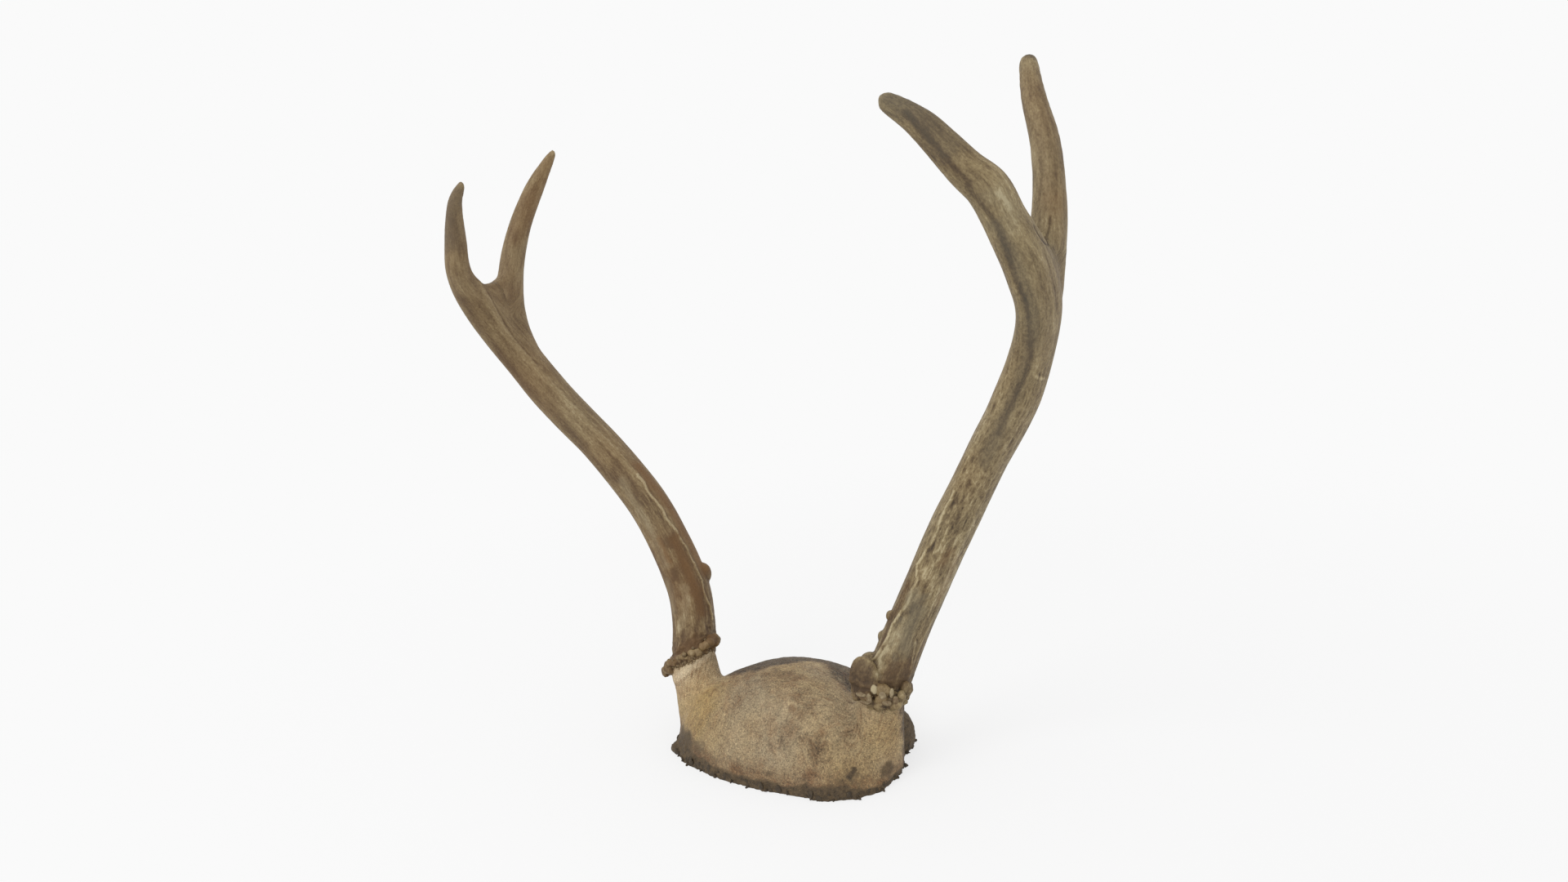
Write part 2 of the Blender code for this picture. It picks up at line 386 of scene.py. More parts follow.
def evaluated(
    mesh: Mesh, modifiers: Sequence[tuple[str, dict]], inputs: dict | None = None
) -> Mesh:
    """Run modifiers on a mesh and return the result as a plain mesh.

    Args:
        mesh: The mesh to work on. It is used up.
        modifiers: The type of each modifier, in order, and its settings.
        inputs: Identifiers of inputs of the last one's node tree, and their values.

    Returns:
        The finished mesh.
    """
    obj = linked(mesh.name, mesh)
    for kind, settings in modifiers:
        modifier = obj.modifiers.new(kind.lower(), kind)
        for name, value in settings.items():
            setattr(modifier, name, value)
    for identifier, value in (inputs or {}).items():
        modifier[identifier] = value
    made = bpy.data.meshes.new_from_object(obj.evaluated_get(bpy.context.evaluated_depsgraph_get()))
    bpy.data.objects.remove(obj, do_unlink=True)
    return made


def melted(mesh: Mesh, voxel: float, rounds: int) -> Mesh:
    """Melt overlapping bodies into one closed skin.

    Args:
        mesh: The closed bodies.
        voxel: Size of the new faces in millimetres.
        rounds: Rounds of smoothing.

    Returns:
        The skin.
    """
    one_skin = {"mode": "VOXEL", "voxel_size": voxel}
    return evaluated(mesh, [("REMESH", one_skin), ("SMOOTH", {"factor": 0.5, "iterations": rounds})])


@dataclass(frozen=True)
class Mark:
    """A streak or a patch on a surface, through one or more places in millimetres.

    Tone makes it paler above 0 and darker below. Grey, warm and tissue shift its colour, lift
    raises it in millimetres, calm stills the streaks there, ragged breaks its edge and wander
    bends its path.
    """

    spots: tuple[Spot, ...]
    width: float
    tone: float = 0.0
    grey: float = 0.0
    warm: float = 0.0
    tissue: float = 0.0
    lift: float = 0.0
    calm: float = 0.0
    ragged: float = 0.45
    wander: float = 0.0


@dataclass(frozen=True)
class Knob:
    """A knob, pearl or nub that has grown on an antler: its place, its radii and its colour."""

    spot: Spot
    radii: Spot
    faces: Spot = (0, 0, 1)
    tone: float = 0.0
    grey: float = 0.0
    warm: float = 0.0


class Skin:
    """A mesh in millimetres whose points are read, moved and painted as arrays."""

    # A mark's path: its steps in millimetres, and the noise that bends it, by its wavelength and
    # by a shift for each of x, y and z. Then the rounds that smooth it.
    PATH_STEP = 0.4
    BEND_WAVELENGTH = 5.0
    BEND_SHIFTS = (0, 40, 80)
    PATH_ROUNDS = 3
    # How far a mark reaches, and how long the teeth of its edge are, in widths of the mark.
    REACH = 3
    TOOTH = 1.3
    # How strongly the hollows of the relief count.
    HOLLOW_GAIN = 12

    def __init__(self, mesh: Mesh) -> None:
        """Read the points and normals of the mesh, and index them by place.

        Args:
            mesh: The mesh.
        """
        self.mesh = mesh
        self.read()
        self._tree = KDTree(len(self.places))
        for index, place in enumerate(self.places):
            self._tree.insert(place, index)
        self._tree.balance()

    def read(self) -> None:
        """Read the points and normals as they now are."""
        count = len(self.mesh.vertices)
        self.places, self.normals = (np.empty(count * 3, np.float32) for _ in range(2))
        self.mesh.vertices.foreach_get("co", self.places)
        self.mesh.vertex_normals.foreach_get("vector", self.normals)
        self.places = self.places.reshape(-1, 3).astype(float)
        self.normals = self.normals.reshape(-1, 3).astype(float)

    def weight(self, mark: Mark, noise: Noise) -> np.ndarray:
        """How strongly a mark is on each point.

        Args:
            mark: The mark. Its path is drawn on to the nearest points of the mesh.
            noise: The noise that bends the path and breaks its edge.

        Returns:
            A value for each point, from 0 to 1.
        """
        path = np.array(mark.spots, float)
        if len(path) > 1:
            longest = np.linalg.norm(np.diff(path, axis=0), axis=1).max()
            path = smooth_curve(path, max(1, math.ceil(longest / self.PATH_STEP)))
            bend = [noise.at(path + shift, self.BEND_WAVELENGTH) for shift in self.BEND_SHIFTS]
            path = path + mark.wander * np.stack(bend, axis=1)
        path = np.array([self._tree.find(spot)[0] for spot in path])
        for _ in range(self.PATH_ROUNDS):
            path[1:-1] = (path[:-2] + 2 * path[1:-1] + path[2:]) / 4
        reach = mark.width * self.REACH
        above, below = self.places > path.min(axis=0) - reach, self.places < path.max(axis=0) + reach
        found = np.where((above & below).all(axis=1))[0]
        far = np.full(len(found), np.inf)
        for spot in path:
            far = np.minimum(far, ((self.places[found] - spot) ** 2).sum(axis=1))
        far = np.sqrt(far)
        far *= 1 + mark.ragged * noise.layered(self.places[found], max(1.0, mark.width) * self.TOOTH)
        weights = np.zeros(len(self.places))
        weights[found] = np.exp(-(far / mark.width) ** 3)
        return weights

    def move(self, lift: np.ndarray) -> None:
        """Move each point along its normal.

        Args:
            lift: How far each point moves, in millimetres.
        """
        self.places += self.normals * lift[:, None]
        self.mesh.vertices.foreach_set("co", self.places.astype(np.float32).ravel())
        self.mesh.update()

    def hollows(self, rounds: int) -> np.ndarray:
        """How hollow the surface is.

        Args:
            rounds: Rounds of smoothing over the neighbours.

        Returns:
            A value for each point, above 0 in a crevice and below it on a crest.
        """
        self.read()
        count = len(self.places)
        edges = np.empty(len(self.mesh.edges) * 2, np.int32)
        self.mesh.edges.foreach_get("vertices", edges)
        ends = np.concatenate([edges[0::2], edges[1::2]])
        others = np.concatenate([edges[1::2], edges[0::2]])
        links = np.maximum(np.bincount(ends, minlength=count), 1)
        mean = [np.bincount(ends, self.places[others, k], count) / links for k in range(3)]
        bend = ((np.stack(mean, axis=1) - self.places) * self.normals).sum(axis=1) * self.HOLLOW_GAIN
        for _ in range(rounds):
            bend = (bend + np.bincount(ends, bend[others], count) / links) / 2
        return bend

    def paint(self, **layers: np.ndarray) -> None:
        """Store values on the mesh, under names that a material reads.

        Args:
            **layers: A number or a vector for each point, by name.
        """
        for name, values in layers.items():
            kind, key = ("FLOAT", "value") if values.ndim == 1 else ("FLOAT_VECTOR", "vector")
            layer = self.mesh.attributes.new(name, kind, "POINT")
            layer.data.foreach_set(key, values.astype(np.float32).ravel())


def shown(
    mesh: Mesh, name: str, material: Material, replaced: Sequence[str] = ()
) -> Object:
    """Turn a mesh in millimetres into a finished piece that rides on the root.

    Args:
        mesh: The mesh, in millimetres.
        name: The name of the piece.
        material: Its finish.
        replaced: The solids that it stands for.

    Returns:
        The piece.
    """
    mesh.transform(Matrix.Translation((0, SET_BACK * MM, 0)) @ Matrix.Scale(MM, 4))
    mesh.materials.clear()
    mesh.materials.append(material)
    mesh.shade_smooth()
    mesh.name = name
    piece = linked(name, mesh)
    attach(piece, "root")
    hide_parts(*replaced)
    LOG.info("%s: %d points, %d faces", name, len(mesh.vertices), len(mesh.polygons))
    return piece


@dataclass(frozen=True)
class AntlerFinish:
    """Antler, which is compact bone grown in lengthwise fibres and rubbed on bark.

    It is matt and brown in its hollows, paler and a little smoother on its ribs.
    Its darker hollows are partly painted shade.
    """

    name: str = "rubbed_antler"
    stops: tuple[tuple[float, str], ...] = (
        (0.0, "#2f2212"), (0.25, "#4c3a21"), (0.5, "#72603f"), (0.75, "#917f5a"), (1.0, "#b8a984"),
    )
    grey: str = "#6f6a58"
    warm: str = "#765124"
    # Fibres, veins, a pale net, broad clouds and pores. The real fibres and pores are too fine to
    # show in the render, so they are drawn as coarse as they need to show.
    layers: tuple[Layer, ...] = (
        Layer(0.55, tone=0.4, height=0.4, stretch=6, sharp=1.3, by="streaks"),
        Layer(1.6, tone=0.5, height=0.2, stretch=8, sharp=1.5, by="streaks"),
        Layer(1.3, tone=0.34, height=0.35, stretch=3.4, net=True, by="net"),
        Layer(4.5, tone=0.28, stretch=2.4),
        Layer(0.45, tone=0.34, height=0.5, stretch=1.8, sharp=1.3),
    )
    roughness: tuple[float, float] = (0.72, 0.52)
    bump: float = 0.26

    def material(self) -> Material:
        """Build the material from the piece's grain, tone, streaks, net, grey and warm values.

        Returns:
            The material.
        """
        made, tree, shader = new_material(self.name)
        tone, height = add_layers(tree, self.layers)
        grey, warm, painted = (
            add_node(tree, "ShaderNodeAttribute", attribute_name=name).outputs["Fac"]
            for name in ("grey", "warm", "tone")
        )
        for more in (painted, 0.5):
            tone = add_node(tree, "ShaderNodeMath", {0: tone, 1: more}, operation="ADD")
        ramp = add_node(tree, "ShaderNodeValToRGB", {"Fac": tone})
        elements = ramp.color_ramp.elements
        while len(elements) < len(self.stops):
            elements.new(1)
        for (spot, shade), element in zip(self.stops, elements):
            element.position = spot
            element.color = linear(shade)
        colour = ramp.outputs["Color"]
        for share, shade in ((grey, self.grey), (warm, self.warm)):
            mix = {0: share, 6: colour, 7: linear(shade)}
            colour = add_node(tree, "ShaderNodeMix", mix, data_type="RGBA").outputs[2]
        low, high = self.roughness
        rough = add_node(tree, "ShaderNodeMapRange", {"Value": tone, "To Min": low, "To Max": high})
        bump = add_node(tree, "ShaderNodeBump", {"Height": height, "Distance": self.bump * MM})
        feed(tree, shader, {"Base Color": colour, "Roughness": rough, "Normal": bump})
        return made


@dataclass(frozen=True)
class BoneFinish:
    """Frontal bone, cleaned and weathered, with dried tissue left at its edges.

    The bone is matt, finely pitted and streaked, grey to yellow. The tissue is dark and leathery.
    """

    name: str = "weathered_skull_bone"
    pale: str = "#a59274"
    yellow: str = "#a08450"
    grey: str = "#948a77"
    brown: str = "#6a4828"
    tissue_dark: str = "#322718"
    tissue_light: str = "#665338"
    # Pores, grit, streaks and clouds. The real pores are too fine to show in the render, so they
    # are drawn as coarse as they need to show.
    layers: tuple[Layer, ...] = (
        Layer(0.7, tone=-0.36, height=-0.7, net=True),
        Layer(0.6, tone=0.75, height=0.4, sharp=1.4),
        Layer(0.7, tone=0.6, height=0.3, stretch=6, sharp=1.4, by="streaks"),
        Layer(2.2, tone=0.24, sharp=1.4),
        Layer(9.0, tone=0.12),
    )
    stains: tuple[Layer, ...] = (
        Layer(3.4, tone=0.5, sharp=1.3),
        Layer(0.7, tone=0.4, sharp=1.2),
        Layer(1.3, tone=1.1, stretch=3, sharp=1.5, by="streaks"),
        Layer(9.0, tone=0.45),
    )
    scraps: tuple[Layer, ...] = (Layer(1.2, tone=0.9, height=1.0, sharp=1.3), Layer(3.5, tone=0.5))
    stain_limit: float = 0.85
    # How much the scraps break up the edge of the tissue, and the values between which it fades in.
    breakup: float = 0.45
    tissue_edge: tuple[float, float] = (0.25, 0.75)
    roughness: float = 0.74
    bump: float = 0.24

    def material(self) -> Material:
        """Build the material from the piece's grain, streaks and five painted colour values.

        Returns:
            The material.
        """
        made, tree, shader = new_material(self.name)
        tone, height = add_layers(tree, self.layers)
        stain, _ = add_layers(tree, self.stains)
        scrap, scrap_height = add_layers(tree, self.scraps)
        painted = {
            name: add_node(tree, "ShaderNodeAttribute", attribute_name=name).outputs["Fac"]
            for name in ("tone", "yellow", "grey", "warm", "tissue")
        }
        stain = add_node(tree, "ShaderNodeMath", {0: stain, 1: painted["warm"]}, operation="ADD")
        stain = add_node(tree, "ShaderNodeClamp", {"Value": stain, "Max": self.stain_limit})
        for more in (painted["tone"], 1.0):
            tone = add_node(tree, "ShaderNodeMath", {0: tone, 1: more}, operation="ADD")
        mottle = add_node(tree, "ShaderNodeMath", {0: scrap, 1: 0.5}, operation="ADD")
        edge = {0: scrap, 1: self.breakup, 2: painted["tissue"]}
        edge = add_node(tree, "ShaderNodeMath", edge, operation="MULTIPLY_ADD")
        low, high = self.tissue_edge
        cover = add_node(tree, "ShaderNodeMapRange", {"Value": edge, "From Min": low, "From Max": high})
        colour = linear(self.pale)
        washes = ((painted["yellow"], self.yellow), (painted["grey"], self.grey), (stain, self.brown))
        for share, shade in washes:
            mix = {0: share, 6: colour, 7: linear(shade)}
            colour = add_node(tree, "ShaderNodeMix", mix, data_type="RGBA").outputs[2]
        colour = add_node(tree, "ShaderNodeHueSaturation", {"Value": tone, "Color": colour})
        leather = {0: mottle, 6: linear(self.tissue_dark), 7: linear(self.tissue_light)}
        leather = add_node(tree, "ShaderNodeMix", leather, data_type="RGBA").outputs[2]
        mix = {0: cover, 6: colour, 7: leather}
        colour = add_node(tree, "ShaderNodeMix", mix, data_type="RGBA").outputs[2]
        rough = {0: scrap_height, 1: cover, 2: height}
        rough = add_node(tree, "ShaderNodeMath", rough, operation="MULTIPLY_ADD")
        bump = add_node(tree, "ShaderNodeBump", {"Height": rough, "Distance": self.bump * MM})
        feed(tree, shader, {"Base Color": colour, "Roughness": self.roughness, "Normal": bump})
        return made


@dataclass(frozen=True)
class CrumbFinish:
    """Small mineral lumps or scraps of dried tissue: matt, each a little different in colour."""

    name: str
    dark: str
    light: str
    size: float
    grit: float = 0.4
    roughness: float = 0.75
    bump: float = 0.12

    def material(self) -> Material:
        """Build the material from a fine and a coarse pattern and the piece's tone values.

        Returns:
            The material.
        """
        made, tree, shader = new_material(self.name)
        layers = (Layer(self.size, tone=1.0), Layer(self.grit, tone=0.4, height=1.0))
        tone, height = add_layers(tree, layers)
        painted = add_node(tree, "ShaderNodeAttribute", attribute_name="tone").outputs["Fac"]
        for more in (painted, 0.5):
            tone = add_node(tree, "ShaderNodeMath", {0: tone, 1: more}, operation="ADD")
        mix = {0: tone, 6: linear(self.dark), 7: linear(self.light)}
        colour = add_node(tree, "ShaderNodeMix", mix, data_type="RGBA").outputs[2]
        bump = add_node(tree, "ShaderNodeBump", {"Height": height, "Distance": self.bump * MM})
        feed(tree, shader, {"Base Color": colour, "Roughness": self.roughness, "Normal": bump})
        return made


@dataclass(frozen=True)
class Scatter:
    """Small lumps strewn over a surface by Geometry Nodes: pearls, beads or scraps.

    Length draws each lump out from the surface above 1 and flattens it below.
    """

    spacing: float
    smallest: float
    largest: float
    length: float = 1.0
    lumpiness: float = 0.3
    seed: int = 1

    # Lumps to a square millimetre before the spacing thins them, and the scale of their bumps.
    DENSITY = 4.0
    BUMP_SCALE = 0.9

    def tree(self, material: Material) -> NodeTree:
        """Build the node tree, with its sizes as named inputs in millimetres.

        Args:
            material: The finish of the lumps.

        Returns:
            The tree.
        """
        made = bpy.data.node_groups.new("strewn_lumps", "GeometryNodeTree")
        made.interface.new_socket("Geometry", in_out="INPUT", socket_type="NodeSocketGeometry")
        for name in ("Spacing", "Smallest", "Largest", "Length", "Lumpiness"):
            made.interface.new_socket(name, in_out="INPUT", socket_type="NodeSocketFloat")
        made.interface.new_socket("Geometry", in_out="OUTPUT", socket_type="NodeSocketGeometry")
        given = add_node(made, "NodeGroupInput").outputs
        strewn = add_node(
            made, "GeometryNodeDistributePointsOnFaces",
            {
                "Mesh": given["Geometry"], "Distance Min": given["Spacing"],
                "Density Max": self.DENSITY, "Seed": self.seed,
            },
            distribute_method="POISSON",
        ).outputs
        size = add_node(
            made, "FunctionNodeRandomValue",
            {2: given["Smallest"], 3: given["Largest"], "Seed": self.seed}, data_type="FLOAT",
        ).outputs[1]
        out = add_node(made, "ShaderNodeMath", {0: size, 1: given["Length"]}, operation="MULTIPLY")
        scale = add_node(made, "ShaderNodeCombineXYZ", {0: size, 1: size, 2: out})
        lump = add_node(made, "GeometryNodeMeshIcoSphere", {"Radius": 1.0, "Subdivisions": 2})
        placed = add_node(
            made, "GeometryNodeInstanceOnPoints",
            {
                "Points": strewn["Points"], "Instance": lump,
                "Rotation": strewn["Rotation"], "Scale": scale,
            },
        )
        real = add_node(made, "GeometryNodeRealizeInstances", {0: placed})
        spot = add_node(made, "GeometryNodeInputPosition")
        rough = {"Vector": spot, "Scale": self.BUMP_SCALE, "Detail": 2.0}
        rough = add_node(made, "ShaderNodeTexNoise", rough)
        away = {0: rough.outputs["Color"], 1: (0.5,) * 3}
        away = add_node(made, "ShaderNodeVectorMath", away, operation="SUBTRACT")
        push = {0: away, "Scale": given["Lumpiness"]}
        push = add_node(made, "ShaderNodeVectorMath", push, operation="SCALE")
        moved = add_node(made, "GeometryNodeSetPosition", {"Geometry": real, "Offset": push})
        done = add_node(made, "GeometryNodeSetMaterial", {"Geometry": moved, "Material": material})
        add_node(made, "NodeGroupOutput", {0: done})
        return made

    def over(self, band: Mesh, material: Material) -> Mesh:
        """Strew the lumps over a band.

        Args:
            band: The surface that carries them, in millimetres. It is used up.
            material: The finish of the lumps.

        Returns:
            The lumps alone, as a plain mesh in millimetres, none of them below the ground.
        """
        tree = self.tree(material)
        sizes = {
            "Spacing": self.spacing, "Smallest": self.smallest, "Largest": self.largest,
            "Length": self.length, "Lumpiness": self.lumpiness,
        }
        named = [item for item in tree.interface.items_tree if item.name in sizes]
        inputs = {item.identifier: sizes[item.name] for item in named}
        made = evaluated(band, [("NODES", {"node_group": tree})], inputs)
        for vert in made.vertices:
            vert.co.z = max(vert.co.z, NEAR_GROUND)
        return made


@dataclass(frozen=True)
class Limb:
    """A beam or a tine: stations with a place, a thickness across and one front to back."""

    stations: Stations
    grooved: bool = False

    STEPS = 8
    RING = 48
    CHANNEL_DEPTH = 0.14
    CHANNEL_WIDTH = 0.5
    CHANNEL_Z = (70, 160)
    # Angles from the last station up the rounded tip, in degrees.
    TIP_TURNS = (25, 45, 62, 76, 86)
    # How many points are measured against the middle line at a time.
    CHUNK = 4000

    def spine(self, side: Side) -> dict[str, np.ndarray]:
        """The middle line with its frame.

        Args:
            side: The side of the head.

        Returns:
            Arrays named place, way, out, back, across, deep and length, a row for each step.
        """
        given = np.array([(*place, across) for place, across, _ in self.stations], float)
        rows = smooth_curve(given, self.STEPS)
        place, across = rows[:, :3], rows[:, 3]
        marks = np.arange(len(rows)) / self.STEPS
        deep = np.interp(marks, np.arange(len(given)), [deep for _, _, deep in self.stations])
        way = np.gradient(place, axis=0)
        way /= np.linalg.norm(way, axis=1, keepdims=True)
        back = np.array([0, 1, 0]) - way * way[:, 1:2]
        back /= np.linalg.norm(back, axis=1, keepdims=True)
        out = np.cross(back, way)
        steps = np.linalg.norm(np.diff(place, axis=0), axis=1)
        mirror = np.array([side.sign, 1, 1])
        return {
            "place": place * mirror, "way": way * mirror, "out": out * mirror, "back": back * mirror,
            "across": across, "deep": deep, "length": np.concatenate([[0], np.cumsum(steps)]),
        }

    def channel(self, angle: float, z: float) -> float:
        """How far a section is cut back to the channel along the limb's front.

        Args:
            angle: The direction in the section, from its outer side towards its back, in radians.
            z: The height of the section.

        Returns:
            The share of its radius that the section loses.
        """
        low, high = self.CHANNEL_Z
        if not self.grooved or not low < z < high:
            return 0.0
        fade = math.sin(math.pi * (z - low) / (high - low))
        away = (angle + math.pi / 2 + math.pi) % math.tau - math.pi
        return self.CHANNEL_DEPTH * fade * math.exp(-(away / self.CHANNEL_WIDTH) ** 2)

    def loft(self, side: Side, girth: Callable[[float], float]) -> BMesh:
        """The closed form of the limb, with a rounded tip.

        Args:
            side: The side of the head.
            girth: A function that gives the share of its thickness at a height.

        Returns:
            The form.
        """
        line = self.spine(side)
        rows = list(zip(*(line[key] for key in ("place", "way", "out", "back", "across", "deep"))))
        end, way, out, back, across, deep = rows[-1]
        for turn in map(math.radians, self.TIP_TURNS):
            reach = math.sin(turn) * across / 2
            shrunk = across * math.cos(turn), deep * math.cos(turn)
            rows.append((end + way * reach, way, out, back, *shrunk))
        form = bmesh.new()
        loops = []
        for here, _, out, back, across, deep in rows:
            size = girth(here[2])
            loop = []
            for j in range(self.RING):
                angle = math.tau * j / self.RING
                radius = size / 2 * (1 - self.channel(angle, here[2]))
                spot = here + out * across * radius * math.cos(angle)
                loop.append(form.verts.new(spot + back * deep * radius * math.sin(angle)))
            loops.append(loop)
        for lower, upper in zip(loops, loops[1:]):
            for j in range(self.RING):
                k = (j + 1) % self.RING
                form.faces.new((lower[j], lower[k], upper[k], upper[j]))
        form.faces.new(loops[0])
        form.faces.new(loops[-1])
        return form

    def grain(self, side: Side, places: np.ndarray) -> tuple[np.ndarray, np.ndarray]:
        """How points lie in the limb.

        Args:
            side: The side of the head.
            places: Points, one a row.

        Returns:
            For each point, its place across, front to back and along the limb, and its distance
            from the limb's middle line.
        """
        line = self.spine(side)
        nearest = np.concatenate([
            ((chunk[:, None] - line["place"][None]) ** 2).sum(axis=2).argmin(axis=1)
            for chunk in np.array_split(places, max(1, len(places) // self.CHUNK))
        ])
        away = places - line["place"][nearest]
        parts = [(away * line[key][nearest]).sum(axis=1) for key in ("out", "back", "way")]
        parts[2] = parts[2] + line["length"][nearest]
        return np.stack(parts, axis=1), np.linalg.norm(away, axis=1)


@dataclass
class Antler:
    """One antler with its burr, beam and two tines, as one skin.

    Stoutness scales its thickness, and tip_share what is left of that at the tips. Netted, browned
    and dimmed say how much pale net and brown it carries and how dark it is low down, and rounding
    how many rounds of smoothing its limbs get.
    """

    side: Side
    seat: Spot
    normal: Spot
    beam: Stations
    rear_tine: Stations
    web: tuple[Knob, ...]
    burr_radius: float
    stoutness: float
    tip_share: float
    pearl_radius: tuple[float, float]
    netted: float
    browned: float
    dimmed: float
    rounding: int
    knobs: tuple[Knob, ...]
    nodules: tuple[Knob, ...]
    marks: tuple[Mark, ...]
    seed: int
    burr_height: float = 4.6
    burr_taper: float = 1.4
    pearl_spacing: float = 1.7
    pearls: int = 17
    beam_foot: tuple[float, float] = (14, 15)
    thinning_starts_z: float = 145
    coarse_voxel: float = 1.0
    fine_voxel: float = 0.45
    noises: tuple[Noise, ...] = field(init=False)

    def __post_init__(self) -> None:
        """Draw this antler's noises from its seed."""
        self.noises = tuple(Noise(self.seed + k) for k in range(6))

    def limbs(self) -> tuple[Limb, Limb]:
        """The beam with its front tine, and the rear tine."""
        return Limb(((self.seat, *self.beam_foot), *self.beam), grooved=True), Limb(self.rear_tine)

    def axis(self) -> Vector:
        """The upward normal of the burr."""
        return self.side.of(self.normal).normalized()

    def root(self) -> Vector:
        """The middle of the burr's seat."""
        return self.side.of(self.seat)

    def limb_forms(self) -> list[BMesh]:
        """The beam, the tines and the web between them.

        Returns:
            The closed forms.
        """
        forms = [ball(one.spot, one.radii) for one in self.web]
        start = self.thinning_starts_z
        for limb in self.limbs():
            tip_z = limb.stations[-1][0][2]

            def girth(z: float, tip_z: float = tip_z) -> float:
                """The share of the stated thickness at height z."""
                share = max(0.0, min(1.0, (z - start) / (tip_z - start)))
                return self.stoutness * (1 + (self.tip_share - 1) * share ** 2)

            forms.append(limb.loft(self.side, girth))
        return forms

    def burr_forms(self) -> list[BMesh]:
        """The ring of the burr, its pearls and the antler's knobs.

        Returns:
            The closed forms.
        """
        rng = np.random.default_rng(self.seed)
        axis, root = self.axis(), self.root()
        radii = (self.burr_radius, self.burr_radius - self.burr_taper)
        forms = [stub(root - axis * 0.5, root + axis * self.burr_height, radii)]
        stand = upright(axis, root)
        for k in range(self.pearls):
            angle = math.tau * (k + rng.uniform(-0.3, 0.3)) / self.pearls
            size = rng.uniform(*self.pearl_radius)
            height = size * 0.6 + rng.uniform(0.1, 2.0)
            reach = self.burr_radius + rng.uniform(-0.5, 0.3)
            spot = stand @ Vector((math.cos(angle) * reach, math.sin(angle) * reach, height))
            forms.append(ball(spot, (size, size, size * rng.uniform(0.8, 1.3)), axis))
        for knob in self.knobs:
            forms.append(ball(knob.spot, knob.radii, knob.faces))
        return forms

    def grain(self, places: np.ndarray) -> np.ndarray:
        """The lengthwise grain of the antler, blended from the beam's to the rear tine's.

        Args:
            places: Points, one a row.

        Returns:
            For each point, its place across, front to back and along the antler.
        """
        beam, rear = self.limbs()
        on_beam, beam_away = beam.grain(self.side, places)
        on_rear, rear_away = rear.grain(self.side, places)
        line = beam.spine(self.side)
        foot = np.array(self.side.of(rear.stations[0][0]))
        on_rear[:, 2] += line["length"][((line["place"] - foot) ** 2).sum(axis=1).argmin()]
        share = step(-1.5, 2.5, beam_away - rear_away) * step(148, 156, places[:, 2])
        return on_beam * (1 - share[:, None]) + on_rear * share[:, None]

    def build(self, finish: Material) -> Object:
        """Make the antler's skin, raise its relief, paint its values and show it.

        Args:
            finish: The antler material.

        Returns:
            The piece.
        """
        whole = bmesh.new()
        whole.from_mesh(melted(mesh_of(self.limb_forms(), "limbs"), self.coarse_voxel, self.rounding))
        skin = Skin(melted(mesh_of([whole, *self.burr_forms()], "antler"), self.fine_voxel, 2))
        places = skin.places.copy()
        grain = self.grain(places)
        rib, fine, swell, crust, pit, edge = self.noises
        length = grain[:, 2]
        above = (places - np.array(self.root())) @ np.array(self.axis())
        # How far each point is in the rough lower part, and on the burr, from 0 to 1.
        low = 1 - step(15, 110, length)
        burr = 1 - step(3, 12, above)
        # Relief in millimetres: ribs, crests and fibres along the grain, soft swells, the burr's
        # crust on three scales, and pits.
        crest = rib.ridges(grain * np.array([1, 1, 0.09]), 4.2)
        lift = (0.08 + 0.1 * low) * rib.layered(grain * np.array([1, 1, 0.08]), 2.6)
        lift += (0.02 + 0.14 * low) * (crest - 0.4)
        lift += 0.03 * fine.layered(grain * np.array([2, 2, 0.3]), 1.2)
        lift += 0.18 * swell.at(places, 15)
        lift += burr * (0.5 * crust.layered(places, 2.4) + 0.3 * crust.ridges(places + 9, 3.4))
        lift += burr * 0.22 * crust.layered(places + 5, 1.3, 2)
        pits = step(0.42, 0.6, pit.at(places, 1.3))
        lift -= 0.14 * pits * (0.2 + burr)
        # Colour values: darker on the burr and in pits, paler on crests.
        tone = 0.06 * swell.at(places + 50, 18) - 0.14 * burr - 0.1 * pits * low - self.dimmed * low
        tone += 0.12 * low * (crest - 0.4) + 0.2 * burr * crust.layered(places + 20, 1.8)
        grey = 0.08 + 0.12 * edge.at(places, 22)
        warm = self.browned + 0.1 * edge.at(places + 90, 16)
        streaks = 0.55 + 0.55 * low - 0.55 * burr
        net = self.netted * step(30, 55, length) * (1 - 0.8 * step(95, 140, length))
        for mark in self.marks:
            weight = skin.weight(mark, edge)
            lift += mark.lift * weight
            tone += mark.tone * weight
            grey += mark.grey * weight
            warm += mark.warm * weight
            streaks *= 1 - mark.calm * weight
            net *= 1 - mark.calm * weight
        for knob in self.knobs:
            weight = skin.weight(Mark((knob.spot,), max(knob.radii) * 1.15, ragged=0.1), edge)
            tone += knob.tone * weight
            grey += knob.grey * weight
            warm += knob.warm * weight
            streaks *= 1 - 0.8 * weight
            net *= 1 - weight
        skin.move(lift)
        hollow = skin.hollows(2)
        # Darker in crevices and paler on crests: partly the antler's own stained hollows and rubbed
        # ridges, partly painted shade in the crevices.
        tone -= np.clip(hollow * 0.5, -0.22, 0.2)
        skin.paint(tone=tone, grey=grey, warm=warm, streaks=streaks, net=net, grain=grain * MM)
        name = self.side.value
        replaced = (f"{name}_beam", f"{name}_rear_tine")
        return shown(skin.mesh, f"{name}_antler", finish, replaced)

    def band(self, low: float, high: float, reach: float) -> Mesh:
        """A strip round the burr.

        Args:
            low: Its lower height above the burr's seat, in millimetres.
            high: Its upper height.
            reach: How far it stands outside the burr's radius.

        Returns:
            The strip.
        """
        form = bmesh.new()
        radius = self.burr_radius + reach
        middle = self.root() + self.axis() * (low + high) / 2
        bmesh.ops.create_cone(
            form, cap_ends=False, segments=64, radius1=radius, radius2=radius,
            depth=high - low, matrix=upright(self.axis(), middle),
        )
        return mesh_of([form], "burr_band")

